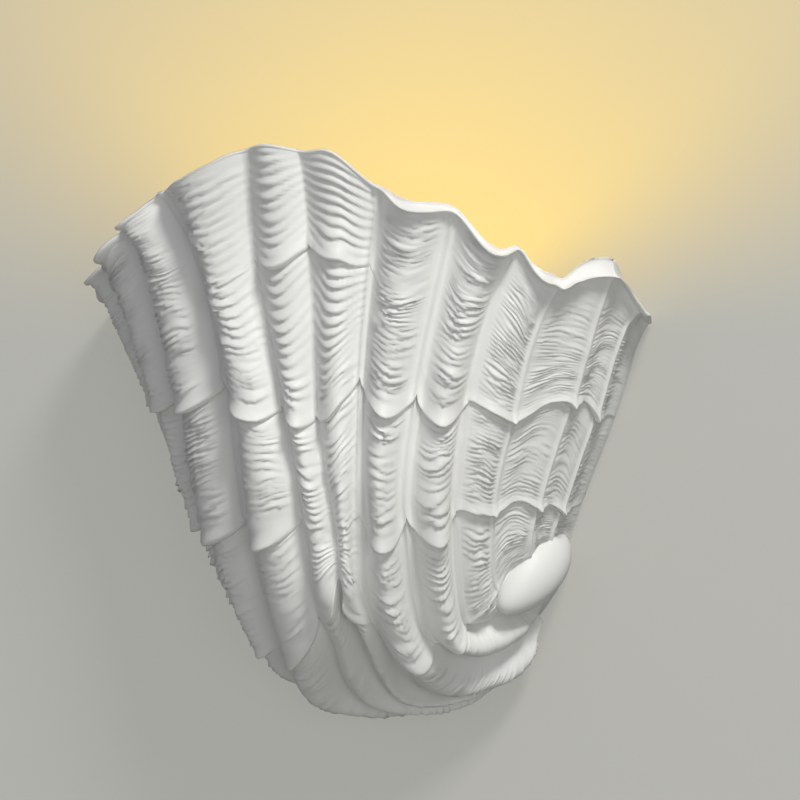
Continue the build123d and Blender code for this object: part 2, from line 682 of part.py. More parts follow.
def lampholder_body():
    """The upper half: a skirt round the lamp's cap, with a beaded lip."""
    inner = HOLDER_RADIUS - HOLDER_WALL
    waist = HOLDER_RADIUS - HOLDER_WAIST
    band_top = HOLDER_SPLIT + HOLDER_BAND
    outline = (
        (inner, HOLDER_SPLIT), (HOLDER_RADIUS, HOLDER_SPLIT), (HOLDER_RADIUS, band_top),
        (waist, band_top + HOLDER_WAIST), (waist, HOLDER_TOP - 3 * HOLDER_WAIST),
        (HOLDER_RADIUS, HOLDER_TOP - 2 * HOLDER_WAIST), (HOLDER_RADIUS, HOLDER_TOP - HOLDER_WAIST),
        (waist, HOLDER_TOP), (inner, HOLDER_TOP),
    )
    return turned(outline)


def lampholder_core():
    """The insulating block that carries the sleeve and the contact."""
    outside = HOLDER_RADIUS - HOLDER_WALL - CLEAR
    bore = SLEEVE_BORE + SLEEVE_WALL + CLEAR
    outline = (
        (0, CORE_BOTTOM), (outside, CORE_BOTTOM), (outside, CORE_TOP),
        (bore, CORE_TOP), (bore, CORE_FLOOR), (0, CORE_FLOOR),
    )
    return turned(outline)


def screw_sleeve():
    outside = SLEEVE_BORE + SLEEVE_WALL
    outline = (
        (SLEEVE_BORE, CORE_FLOOR), (outside, CORE_FLOOR), (outside, SLEEVE_TOP), (SLEEVE_BORE, SLEEVE_TOP),
    )
    return turned(outline)


def centre_contact():
    """The spring tongue that the lamp's tip presses."""
    front, back = LAMP_Y - CONTACT_WIDTH / 2, LAMP_Y + CONTACT_WIDTH / 2
    heel = LAMP_X - CONTACT_HEEL
    bend = heel + CONTACT_THICK
    foot = block(heel - CONTACT_FOOT, bend, front, back, CORE_FLOOR, CORE_FLOOR + CONTACT_THICK)
    step = block(heel, bend, front, back, CORE_FLOOR, BULB_TIP)
    tongue = block(heel, LAMP_X + CONTACT_REACH, front, back, BULB_TIP - CONTACT_THICK, BULB_TIP)
    return foot + step + tongue


def terminal_block():
    right = BLOCK_LEFT + BLOCK_WIDTH
    body = block(BLOCK_LEFT, right, BLOCK_FRONT, PLATE_FRONT, BLOCK_BOTTOM, BLOCK_TOP)
    body = fillet(body.edges().filter_by(Axis.Z).group_by(Axis.Y)[0], BLOCK_ROUND)
    for x in POLES:
        body -= post(x, POLE_Y, BLOCK_BOTTOM - 1, BLOCK_TOP + 1, TUBE_RADIUS + CLEAR)
    for x, height in terminal_places():
        body -= peg(x, height, BLOCK_FRONT - 1, POLE_Y, SMALL_SCREW + FREE)
    seat = BLOCK_FRONT + BLOCK_SCREW_SINK
    body -= peg(block_screw_x(), BLOCK_MIDDLE, BLOCK_FRONT - 1, 1, SMALL_SCREW + FREE / 2)
    body -= peg(block_screw_x(), BLOCK_MIDDLE, BLOCK_FRONT - 1, seat, SMALL_HEAD + FREE / 2)
    return body


def terminal_places():
    heights = (BLOCK_TOP - POLE_SCREW_INSET, BLOCK_BOTTOM + POLE_SCREW_INSET)
    return [(x, height) for x in POLES for height in heights]


def terminal_tubes():
    """The metal tube of each pole, open at both ends for its leads."""
    tubes = []
    for x in POLES:
        tube = post(x, POLE_Y, BLOCK_BOTTOM + 1, BLOCK_TOP - 1, TUBE_RADIUS)
        tubes.append(tube - post(x, POLE_Y, BLOCK_BOTTOM, BLOCK_TOP, LEAD_RADIUS + CLEAR))
    return Compound(children=tubes)


def terminal_screws():
    front = BLOCK_FRONT + POLE_SCREW_SINK
    screws = []
    for x, height in terminal_places():
        screw = peg(x, height, front, POLE_Y - TUBE_RADIUS, SMALL_SCREW)
        low, high = height - SLOT_CUT / 2, height + SLOT_CUT / 2
        screws.append(screw - block(x - SMALL_SCREW, x + SMALL_SCREW, front, front + SLOT_CUT, low, high))
    return Compound(children=screws)


def terminal_block_screw():
    seat = BLOCK_FRONT + BLOCK_SCREW_SINK
    return pan_screw(
        block_screw_x(), BLOCK_MIDDLE, seat, -SCREW_END, SMALL_SCREW, SMALL_HEAD, BLOCK_SCREW_HEAD
    )


def lead(route, radii):
    """A round lead along straight runs joined by tangent arcs."""
    path = FilletPolyline(*route, radius=radii)
    start = Plane(origin=path @ 0, z_dir=path % 0)
    tube = sweep(start * Circle(LEAD_RADIUS), path=path)
    share = tube.volume / (math.pi * LEAD_RADIUS**2 * path.length)
    print("lead: radii", radii, "length", round(path.length), "volume share", round(share, 4))
    return tube


def holder_lead(pole, side):
    """From the terminal block down, under the bracket and up through the nipple."""
    x = LAMP_X + side * LEAD_GAP / 2
    bottom = BRACKET_SHELF - LEAD_DROP - 4 * side
    route = (
        (POLES[pole], POLE_Y, BLOCK_BOTTOM + LEAD_IN),
        (POLES[pole], POLE_Y, BRACKET_SHELF + 5),
        (POLES[pole] + 12, POLE_Y - 14, bottom + 3),
        (x - 20, LAMP_Y + 20, bottom - 3),
        (x, LAMP_Y, bottom + 6),
        (x, LAMP_Y, CORE_BOTTOM),
    )
    return lead(route, (14, 16, 14, 7))


def earth_wire():
    y = RING_BARREL_Y
    route = (
        (POLES[2], POLE_Y, BLOCK_BOTTOM + LEAD_IN),
        (POLES[2], POLE_Y, EARTH_HEIGHT - 4),
        (LAMP_X - 10, -14, EARTH_HEIGHT - 8),
        (LAMP_X + 24, -13, EARTH_HEIGHT - 6),
        (EARTH_X - 18, y, EARTH_HEIGHT),
        (EARTH_X - 5, y, EARTH_HEIGHT),
    )
    return lead(route, (11, 12, 14, 12))


def earth_stud():
    return peg(EARTH_X, EARTH_HEIGHT, EARTH_NUT_FRONT - STUD_SHOWS, -SCREW_END, SCREW_RADIUS)


def earth_ring():
    """The ring terminal on the earth stud, with the barrel that grips the lead."""
    back = PLATE_FRONT - WASHER_THICK
    middle = EARTH_X - RING_TO_BARREL
    left = middle - RING_BARREL_LENGTH / 2
    barrel_place = Pos(middle, RING_BARREL_Y, EARTH_HEIGHT) * Rot(0, 90, 0)
    low, high = EARTH_HEIGHT - RING_TONGUE / 2, EARTH_HEIGHT + RING_TONGUE / 2
    ring = peg(EARTH_X, EARTH_HEIGHT, back - RING_THICK, back, RING_RADIUS)
    ring += block(left + 1, EARTH_X, back - RING_THICK, back, low, high)
    ring += barrel_place * Cylinder(RING_BARREL, RING_BARREL_LENGTH)
    ring -= barrel_place * Cylinder(LEAD_RADIUS + CLEAR, RING_BARREL_LENGTH + 2)
    ring -= peg(EARTH_X, EARTH_HEIGHT, back - RING_THICK - 1, back + 1, SCREW_RADIUS + CLEAR)
    return ring


def earth_nut():
    place = Pos(EARTH_X, EARTH_NUT_FRONT + EARTH_NUT / 2, EARTH_HEIGHT) * Rot(90, 0, 0)
    nut = place * hexagon(EARTH_NUT_RADIUS, EARTH_NUT)
    return nut - peg(EARTH_X, EARTH_HEIGHT, EARTH_NUT_FRONT - 1, 0, SCREW_RADIUS + CLEAR)


def cable_clamp():
    """A saddle that holds the supply cable against the plate."""
    inner = CABLE_RADIUS + CABLE_FREE
    outer = inner + CLAMP_THICK
    centre = PLATE_FRONT - CABLE_RADIUS
    low, high = CLAMP_HEIGHT - CLAMP_WIDTH / 2, CLAMP_HEIGHT + CLAMP_WIDTH / 2
    reach = CLAMP_SPACING / 2 + CLAMP_END
    saddle = block(CLAMP_X - reach, CLAMP_X + reach, PLATE_FRONT - CLAMP_THICK, PLATE_FRONT, low, high)
    saddle += block(CLAMP_X - outer, CLAMP_X + outer, centre, PLATE_FRONT, low, high)
    saddle += post(CLAMP_X, centre, low, high, outer)
    saddle -= post(CLAMP_X, centre, low - 1, high + 1, inner)
    saddle -= block(CLAMP_X - inner, CLAMP_X + inner, centre, 1, low - 1, high + 1)
    saddle -= block(CLAMP_X - reach, CLAMP_X + reach, PLATE_FRONT, outer, low - 1, high + 1)
    for x in clamp_holes():
        saddle -= peg(x, CLAMP_HEIGHT, centre, 1, SMALL_SCREW + FREE / 2)
    return saddle


def clamp_screws():
    seat = PLATE_FRONT - CLAMP_THICK
    screws = []
    for x in clamp_holes():
        screws.append(pan_screw(x, CLAMP_HEIGHT, seat, -SCREW_END, SMALL_SCREW, SMALL_HEAD, CLAMP_HEAD))
    return Compound(children=screws)


# --- The lamp ----------------------------------------------------------------------------------
def bulb_tip():
    """The end contact, with a rounded edge below."""
    top = BULB_TIP + TIP_HEIGHT
    flat = TIP_RADIUS - TIP_HEIGHT / 2
    edge = BULB_TIP + TIP_HEIGHT / 2
    outline = ((0, BULB_TIP), (flat, BULB_TIP), (TIP_RADIUS, edge), (TIP_RADIUS, top), (0, top))
    return turned(outline)


def bulb_insulator():
    low = BULB_TIP + TIP_HEIGHT
    edge = CAP_BOTTOM - CAP_WALL
    outline = (
        (0, low), (TIP_RADIUS, low), (INSULATOR_RADIUS, edge), (INSULATOR_RADIUS, CAP_BOTTOM),
        (0, CAP_BOTTOM),
    )
    return turned(outline)


def bulb_cap():
    shoulder = CAP_BOTTOM + CAP_SHOULDER
    inside = CAP_RADIUS - CAP_WALL
    outline = (
        (0, CAP_BOTTOM), (INSULATOR_RADIUS, CAP_BOTTOM), (CAP_RADIUS, shoulder), (CAP_RADIUS, CAP_TOP),
        (inside, CAP_TOP), (inside, shoulder), (INSULATOR_RADIUS, CAP_BOTTOM + CAP_WALL),
        (0, CAP_BOTTOM + CAP_WALL),
    )
    return turned(outline)


def bulb_collar():
    """The flared body between the cap and the diffuser, with a seat for the board."""
    seat = COLLAR_TOP - COLLAR_RECESS
    inside = COLLAR_RADIUS - GLASS_SETBACK - GLASS - 1
    outline = (
        (0, CAP_TOP), (CAP_RADIUS + 1, CAP_TOP), (CAP_RADIUS + 2, CAP_TOP + 6),
        (COLLAR_RADIUS - 1, COLLAR_TOP - 3), (COLLAR_RADIUS, COLLAR_TOP),
        (inside, COLLAR_TOP), (inside, seat), (0, seat),
    )
    return turned(outline)


def led_board():
    seat = COLLAR_TOP - COLLAR_RECESS
    top = seat + BOARD_THICK
    return turned(((0, seat), (BOARD_RADIUS, seat), (BOARD_RADIUS, top), (0, top)))


def dome(radius, skirt):
    """A solid of the diffuser's outline: a ball that narrows to a skirt on the collar."""
    centre = BULB_TOP - BULB_RADIUS
    slant = radius / math.sqrt(2)
    side = Spline((skirt, 0, COLLAR_TOP), (radius, 0, centre), tangents=((0.35, 0, 1), (0, 0, 1)))
    ball = ThreePointArc((radius, 0, centre), (slant, 0, centre + slant), (0, 0, centre + radius))
    axis = Polyline((0, 0, centre + radius), (0, 0, COLLAR_TOP), (skirt, 0, COLLAR_TOP))
    return revolve(make_face(Curve() + [side, ball, axis]), Axis.Z)


def bulb_envelope():
    """The opal dome, with a real wall."""
    skirt = COLLAR_RADIUS - GLASS_SETBACK
    glass = dome(BULB_RADIUS, skirt) - dome(BULB_RADIUS - GLASS, skirt - GLASS)
    return Pos(LAMP_X, LAMP_Y, 0) * glass


SUBPARTS = {
    "shell_casting": shell_casting,
    "threaded_inserts": threaded_inserts,
    "hanger_left": lambda: hanger(-1),
    "hanger_right": lambda: hanger(1),
    "hanger_screws": hanger_screws,
    "back_pads": back_pads,
    "wall_plate": wall_plate,
    "cable_grommet": cable_grommet,
    "lamp_bracket": lamp_bracket,
    "bracket_screws": bracket_screws,
    "bracket_washers": bracket_washers,
    "threaded_nipple": threaded_nipple,
    "nipple_washer": nipple_washer,
    "nipple_nut": nipple_nut,
    "lampholder_cap": lampholder_cap,
    "lampholder_body": lampholder_body,
    "lampholder_core": lampholder_core,
    "screw_sleeve": screw_sleeve,
    "centre_contact": centre_contact,
    "terminal_block": terminal_block,
    "terminal_tubes": terminal_tubes,
    "terminal_screws": terminal_screws,
    "terminal_block_screw": terminal_block_screw,
    "live_wire": lambda: holder_lead(0, -1),
    "neutral_wire": lambda: holder_lead(1, 1),
    "earth_wire": earth_wire,
    "earth_stud": earth_stud,
    "earth_washer": lambda: washer(EARTH_X, EARTH_HEIGHT, PLATE_FRONT),
    "earth_ring": earth_ring,
    "earth_nut": earth_nut,
    "cable_clamp": cable_clamp,
    "clamp_screws": clamp_screws,
    "bulb_tip": bulb_tip,
    "bulb_insulator": bulb_insulator,
    "bulb_cap": bulb_cap,
    "bulb_collar": bulb_collar,
    "led_board": led_board,
    "bulb_envelope": bulb_envelope,
}

if __name__ == "__main__":
    os.makedirs("parts", exist_ok=True)
    for name, make in SUBPARTS.items():
        write(make(), name)
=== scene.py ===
import json
import math

import bmesh
import bpy
import numpy as np
from bpy.props import FloatProperty, FloatVectorProperty, PointerProperty
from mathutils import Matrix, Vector


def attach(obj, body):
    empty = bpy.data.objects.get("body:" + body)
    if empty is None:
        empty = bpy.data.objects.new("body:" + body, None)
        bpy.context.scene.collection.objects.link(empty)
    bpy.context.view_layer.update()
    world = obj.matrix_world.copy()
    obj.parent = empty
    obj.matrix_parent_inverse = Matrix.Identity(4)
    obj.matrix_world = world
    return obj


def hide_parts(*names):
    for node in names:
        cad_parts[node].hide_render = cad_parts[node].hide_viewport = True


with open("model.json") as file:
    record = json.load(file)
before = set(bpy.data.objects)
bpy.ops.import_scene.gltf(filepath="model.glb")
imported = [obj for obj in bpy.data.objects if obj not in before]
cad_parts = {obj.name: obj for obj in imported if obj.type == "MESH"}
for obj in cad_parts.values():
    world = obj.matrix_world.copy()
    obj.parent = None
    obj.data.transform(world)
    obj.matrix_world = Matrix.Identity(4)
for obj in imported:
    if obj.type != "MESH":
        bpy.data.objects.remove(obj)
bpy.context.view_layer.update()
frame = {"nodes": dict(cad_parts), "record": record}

bl_info = {
    "name": "Shell Wall Sconce",
    "version": (1, 0, 0),
    "blender": (4, 5, 0),
    "location": "View3D > Sidebar > Sconce",
    "description": "Dresses the packed shell wall sconce: plaster shell, fittings, lamp and stage",
    "category": "Object",
}

# The wall is the plane Y = 0 and the light stands out towards -Y. Sizes are in millimetres up to
# the point where a mesh is made, which MM then turns into metres.
MM = 0.001
NODES = frame["nodes"]

# --- The shell's lines, as the casting has them -------------------------------------------------
WALL = 9
BACK_GAP = 1.5
RIM_FLARE = 4
FIRST_STAGE = 0.05
BEAK = (125, 4, -124)
HEART = (35, 45, -75)
EDGE_ZONE = 8
HOLLOW_STAGE = 0.19
SKIRT_WALL = ((130, -118), (130, -124), (122, -135), (113, -146), (104, -156))  # across and up
KNOB_CENTRE = (125, -31, -112)
KNOB_AXIS = (0.227, 0.725, 0.650)
KNOB_OUT = (0.698, -0.587, 0.411)
KNOB_HALF = (37, 20, 18)  # half its length, width and height
KNOB_EGG = (0.14, 0.06)  # how much it is fuller at one end, and slimmer at both
GROWTH = (0.0, 0.06, 0.13, 0.21, 0.30, 0.48, 0.67, 0.86, 1.0)
LINES = {
    "right_edge": (
        (129, 0, -116), (132, 0, -110), (134, 0, -105), (136, 0, -100),
        (147, 0, -68), (171, 0, -12), (184, 0, 26), (192, 0, 54),
    ),
    "crest_a": (
        (129, 8, -116), (132, 15, -109), (135, 22, -99), (137, 28, -90),
        (146, 30, -68), (171, 30, -5), (188, 30, 42), (198, 26, 66),
    ),
    "crest_b": (
        (126, 14, -118), (127, 26, -112), (129, 37, -105), (131, 47, -98),
        (141, 54, -64), (166, 55, 3), (179, 57, 38), (195, 58, 93),
    ),
    "crest_c": (
        (123, 16, -124), (120, 34, -123), (116, 50, -122), (114, 63, -120),
        (124, 84, -66), (142, 90, -7), (157, 91, 42), (174, 87, 84),
    ),
    "groove_a": (
        (120, 17, -131), (113, 36, -138), (104, 54, -145), (98, 69, -145),
        (108, 104, -70), (122, 113, 0), (141, 112, 64), (157, 106, 96),
    ),
    "groove_b": (
        (118, 12, -141), (109, 26, -159), (91, 44, -170), (78, 77, -158),
        (83, 125, -76), (94, 132, 4), (111, 132, 80), (122, 130, 126),
    ),
    "groove_c": (
        (114, 8, -152), (88, 20, -187), (51, 43, -191), (50, 100, -156),
        (56, 139, -74), (60, 147, 14), (66, 147, 87), (73, 146, 141),
    ),
    "groove_d": (
        (112, 7, -154), (80, 16, -192), (33, 50, -196), (38, 118, -137),
        (38, 143, -82), (30, 151, -11), (25, 152, 100), (20, 152, 162),
    ),
    "groove_e": (
        (110, 6, -156), (71, 13, -195), (8, 48, -198), (15, 108, -156),
        (15, 145, -77), (5, 152, -3), (-16, 152, 91), (-20, 151, 165),
    ),
    "groove_f": (
        (109, 4, -158), (64, 10, -197), (-25, 46, -190), (-30, 84, -162),
        (-33, 134, -78), (-44, 143, 12), (-69, 141, 94), (-97, 134, 138),
    ),
    "groove_g": (
        (108, 3, -160), (57, 7, -198), (-36, 34, -182), (-54, 66, -152),
        (-83, 95, -74), (-100, 110, 2), (-124, 116, 86), (-137, 113, 115),
    ),
    "groove_h": (
        (107, 2, -161), (51, 5, -198), (-43, 22, -178), (-66, 46, -148),
        (-98, 72, -72), (-132, 78, 8), (-161, 76, 64), (-168, 84, 95),
    ),
    "groove_i": (
        (106, 1, -162), (47, 2, -198), (-48, 10, -174), (-73, 24, -146),
        (-108, 38, -76), (-149, 42, 4), (-179, 42, 56), (-194, 46, 86),
    ),
    "left_edge": (
        (105, 0, -163), (42, 0, -198), (-51, 0, -170), (-77, 0, -146),
        (-113, 0, -78), (-152, 0, 0), (-183, 0, 52), (-204, 0, 74),
    ),
}
LINE_RELIEF = (0, 2, 2, 1, -4, -4, -8, -4, -4, -6, -6, -5, -4, 0)
BULGE_OUT = (-2, -3, -4, 3, 9, 11, 6, 6, 11, 10, 8, 8, 5)
BULGE_UP = (0, 0, 1, -2, -9, -5, 8, 1, -7, -6, -2, -2, 0)

# --- What the casting's surface shows over those lines ------------------------------------------
# From here on a list of 14 has a value for each line, and a list of 13 one for each rib.
MEAN_LENGTH = 425  # of the shell along a rib, for a growth of 1
MEAN_WIDTH = 620  # of the shell across the ribs
THREAD_HEIGHT = (0, 1.8, 1.8, 1.8, 1.3, 1.6, 1.5, 0.3, 0.3, 2.2, 1.2, 0.4, 0.3, 0)
THREAD_WIDTH = 1.3
HEM_LINE_DROPS = (  # how far each hem hangs down on the lines
    (0, 9, 9, 10, 1, 0, -10, -21, -14, 0, -2, -2, -2, 0),
    (0, 9, 9, 10, 1, 0, 0, 0, 0, -3, -4, -4, -3, 0),
    (0, 9, 9, 10, 1, 0, 0, 0, 0, -3, -4, -4, -3, 0),
    (0, 9, 9, 10, 1, 0, 0, 0, 0, 0, 0, 0, 0, 0),
)
HEM_DROPS = (  # how far each hem hangs down on the crests
    (2, 1, 1, 3, 6, 7, -11, -12, 2, 2, 4, 4, 3),
    (2, 1, 1, 3, 13, 14, 5, 5, 12, 10, 8, 6, 3),
    (2, 1, 1, 3, 17, 18, 7, 7, 15, 12, 10, 8, 3),
    (2, 1, 1, 3, 14, 15, 7, 7, 12, 10, 8, 6, 3),
)
ROW_SAG_RIBS = (1, 1, 1, 2, 5, 6, 4, 4, 6, 5, 4, 3, 1)  # of the wrinkles halfway between hems
HEM_SPREAD = 22  # how far from a hem the rows still follow it
HEM_STAGES = (0.30, 0.48, 0.67, 0.86)
HEM_LINES = (
    (0, 0, 0.1, 0.3, 0.3, 0.3, 0.25, 0.2, 0.25, 0.3, 0.3, 0.2, 0.1, 0),
    (0, 0.6, 0.6, 0.6, 0.3, 0.3, 0.1, 0, 0.1, 0.3, 0.3, 0.2, 0.1, 0),
    (0, 0.6, 0.7, 0.7, 0.3, 0.4, 0.3, 0.3, 0.3, 0.4, 0.3, 0.2, 0.1, 0),
    (0, 0, 0, 0, 0, 0, 0.05, 0.45, 0.05, 0, 0, 0, 0, 0),
)
HEM_RIBS = (
    (0, 0, 0.1, 0.3, 0.5, 0.85, 0.65, 0.65, 0.8, 0.75, 0.6, 0.4, 0.1),
    (0.2, 0.3, 0.4, 0.5, 1.0, 1.0, 0, 0, 1.0, 1.0, 0.8, 0.5, 0.1),
    (0.2, 0.3, 0.4, 0.6, 1.0, 1.0, 0.8, 0.8, 1.0, 1.0, 0.7, 0.5, 0.1),
    (0, 0, 0, 0, 0, 0, 0.75, 0.75, 0, 0, 0, 0, 0),
)
HEM_BAND = 8  # the smooth band along a hem
HEM_NOSE = 1.7  # how far up the hem's rounded edge goes
HEM_CURL = 11
HEM_FADE = 58
HEM_HANG = 2.6
HEM_SHADE = 2.8
HEM_UNDERCUT = 0.4
HEM_RAGGED = 1.5
RAGGED_WIDTH = 11
RAGGED_STAGES = 9  # how many ragged patches lie along a rib
LAYER_SHARE = 0.36  # of a hem's height that fades slowly; the rest is its curl
LAYER_POWER = 1.3
CURL_POWER = 1.8
SCALLOP_POWER = 0.6
SAG_POWER = 1.2
LIP_LINES = (0.3, 0.9, 0.9, 0.9, 0.6, 0.7, 0.5, 0.2, 0.2, 0.3, 0.4, 0.4, 0.4, 0.3)
LIP_RIBS = (0.6, 0.8, 0.9, 1.0, 1.0, 1.0, 0.3, 0.2, 0.3, 0.6, 0.7, 0.5, 0.6)
LIP_REACH = 19
LIP_FLARE = 9
LIP_TILT = 13
KNUCKLE_LINES = (0, -2, 1, -3, 4, 0, 0, 0, 0, 0, 0, 0, 0, 0)  # how the rim rises at a line
KNUCKLE_SHARE = 0.3
RIB_FULLNESS = 1.2
RIB_TALLEST = 0.46  # of its width
VALLEY_DEPTH = 1.5
LOW_VALLEY = 2.3  # how much deeper the valleys get below the lowest hem, for a depth of 1
LOW_STRETCH = 1.9  # how much longer the shell is below the lowest hem than its growth says
# The painted shade on each wrinkle's underside: where it lies and how wide it is.
RECESS_PLACE = 0.14  # where on a wrinkle, from the notch up, its shaded underside lies
RECESS_SHARE = 0.17
WRINKLE_FACE = 0.34  # of a wrinkle, its steep lower face
WRINKLE_CROWN = 1.35
WRINKLE_HANG = 0.55  # how far a wrinkle's edge hangs down, for a depth of 1
WRINKLE_PATCHES = ((1.9, 30, 24, 11), (0.75, 8, 8, 12))  # strength, width, length and seed
LUMP_PATCHES = ((0.8, 26, 30, 15), (0.4, 8, 6, 16))
WAVED_FROM = (0.7, 0.08)  # a stage of growth, and how much further on its change is full
WAVE_HEIGHT = 0.95  # in wrinkles
WAVE_POWER = 1.3
CLEAR_SHARE = 0.16  # of a tube's width over which its wrinkles fade out at each border
BARE_PLACE = 0.48
BARE_SHARE = 0.17
MIDDLE_RIBS = (0, 0, 0, 0, 0, 0, 1, 1, 0.8, 0, 0, 0, 0)  # their wrinkles are bold near the rim
MIDDLE_BOLD = 0.25
EDGE_SHARE = 0.012  # of the shell's width over which they fade out at its back edges
BELOW_KNOB = ((0.3, 0.06), (0.2, 0.14))  # across and growth: how far the smooth part goes
FULL_WIDTH = 17  # of a rib whose wrinkles have their whole depth
WRINKLE_STEP = (0.68, 0.68, 0.68, 0.68, 1.0, 1.0, 1.12, 1.12, 1.12, 0.74, 0.74, 0.74, 0.74)
WRINKLE_LINES = (0, 0.45, 0.45, 0.45, 0.12, 0.1, 0.06, 0.2, 0.2, 0.08, 0.15, 0.15, 0.15, 0)
WRINKLE_RIBS = (0.3, 0.35, 0.4, 0.65, 1.0, 1.0, 0.95, 0.95, 1.1, 1.1, 1.0, 0.5, 0.2)
WRINKLE_START = (0, 37, 74, 111, 148, 185, 222, 222, 222, 333, 370, 407, 444)
LIP_SMOOTH = (1, 1, 1, 1, 1, 0.9, 0.2, 0.2, 0.3, 0.5, 0.7, 1, 1)
PAIR = (6, 7)  # the narrow pair, whose wrinkles run on from one to the other
SMOOTH_RIB = 8  # the rib whose crest is bare between its wrinkled flanks
LIP_ROWS = 7
LIP_CROWN = 2.4
LIP_CORNER = 0.65
INNER_ROWS = 22
SKIRT_ROWS = 7
END_ROWS = 6
VALLEY_WIDTH = (0, 1, 1, 1, 3, 5, 4, 1.5, 3, 7, 5, 3, 2, 0)  # half of each line's open valley
VALLEY_MOST = 0.32  # of a rib's width that a half valley may take
# Painted shade darkens the rib valleys over this share of a rib's width.
VALLEY_SHADE = 0.09  # of a rib's width that its valleys darken
RIB_COLUMNS = (
    0, 0.022, 0.05, 0.1, 0.17, 0.25, 0.335, 0.425, 0.515, 0.605, 0.69, 0.775, 0.85, 0.91, 0.96,
)
BOSS_HEIGHTS = (2, 26)
BOSS_BACK = -6.05  # just in front of the inserts' ends
BOSS_DEPTH = 28
BOSS_INSET = 32
BOSS_MARGIN = 10
BOSS_SINK = 6
BOSS_ROUND = 0.8
HEM_ROWS = (-3.2, -2.1, -1.2, -0.5, 0, 0.25, 0.6, 1.1, 1.8, 2.7)  # around a hem's edge

# --- The fittings that need more than their CAD shape -------------------------------------------
LAMP_X = 15
LAMP_Y = -72
THREAD_PITCH = 3.629
THREAD_DEPTH = 0.85
THREAD_RUN_OUT = 2
THREAD_STEP = 0.3
THREAD_FROM = -29  # a height at which the thread's crest faces the right
CAP_RADIUS = 13.1
CAP_WALL = 0.6
CAP_BOTTOM = -29
CAP_TOP = -6
CAP_SHOULDER = 3
CAP_COLLAR = 2.5  # above the thread
INSULATOR_RADIUS = 9.4
SLEEVE_BORE = 13.75
SLEEVE_WALL = 0.5
SLEEVE_BOTTOM = -36.5
SLEEVE_TOP = -7
TURNED_STEPS = 96
PAD_RADIUS = 4
PAD_FUZZ = 0.12
PADS = ((-1, 40), (-1, -60), (1, 40), (1, -60))  # side and height

# --- Finishes -----------------------------------------------------------------------------------
# Painted shade: how far the plaster's colour is darkened where the shell marks valleys and
# undersides.
PAINTED_SHADE_STRENGTH = 0.42  # how much darker the plaster is in its recesses
STRIPE_YELLOW = (0.75, 0.62, 0.06)
ROUND_LINES = (0.06, 0.06, 1)  # how turned and drawn lines are stretched
LONG_LINES = (0.05, 1, 1)
FINISHES = (  # slot, colour, roughness, metallic, speckle, blotch, colour change, bump, lines
    ("pad_felt", (0.50, 0.50, 0.48), 0.95, 0, 0.6, 3, 0.35, 0.9, None),
    ("fitting_brass", (0.80, 0.60, 0.28), 0.32, 1, 1, 6, 0.05, 0.25, ROUND_LINES),
    ("zinc_steel", (0.66, 0.67, 0.69), 0.38, 1, 1, 9, 0.12, 0.2, LONG_LINES),
    ("zinc_screw", (0.70, 0.70, 0.70), 0.30, 1, 0.5, 3, 0.1, 0.15, None),
    ("plate_paint", (0.78, 0.78, 0.76), 0.55, 0, 0.8, 30, 0.03, 0.45, None),
    ("grommet_rubber", (0.03, 0.03, 0.03), 0.7, 0, 0.5, 5, 0.3, 0.2, None),
    ("holder_plastic", (0.80, 0.78, 0.72), 0.42, 0, 0.7, 14, 0.04, 0.12, None),
    ("holder_ceramic", (0.86, 0.84, 0.78), 0.6, 0, 0.6, 8, 0.08, 0.25, None),
    ("block_plastic", (0.82, 0.80, 0.72), 0.45, 0, 0.6, 8, 0.05, 0.12, None),
    ("lead_brown", (0.22, 0.10, 0.04), 0.4, 0, 0.5, 6, 0.1, 0.1, None),
    ("lead_blue", (0.03, 0.14, 0.46), 0.4, 0, 0.5, 6, 0.1, 0.1, None),
    ("lead_green", (0.14, 0.42, 0.07), 0.4, 0, 0.5, 6, 0.1, 0.1, None),
    ("clamp_nylon", (0.05, 0.05, 0.05), 0.5, 0, 0.5, 6, 0.2, 0.15, None),
    ("solder_tin", (0.75, 0.75, 0.74), 0.35, 1, 0.7, 2, 0.15, 0.4, None),
    ("insulator_glass", (0.015, 0.015, 0.02), 0.12, 0, 1, 5, 0.2, 0.05, None),
    ("cap_nickel", (0.74, 0.72, 0.68), 0.25, 1, 1, 5, 0.08, 0.15, ROUND_LINES),
    ("collar_plastic", (0.86, 0.86, 0.84), 0.38, 0, 0.7, 16, 0.03, 0.08, None),
    ("board_white", (0.88, 0.88, 0.84), 0.4, 0, 0.8, 6, 0.06, 0.1, None),
)
PLASTER_BUMPS = (  # how the shell's lines are stretched, their detail, strength and depth
    ((70, 420, 1), 4, 1, 0.0013),
    ((900, 110, 1), 3, 0.4, 0.0006),
)
PLASTER_PORES = (0.4, 0.0004)
FINE_BUMP = 0.0003
PER_METRE = 1000
LAMP_WHITE = (0.95, 0.93, 0.88, 1)
STRIPES = (55, 1.5)  # scale and unevenness of the earth lead's bands
STRIPE_EDGE = (0.55, 0.62)

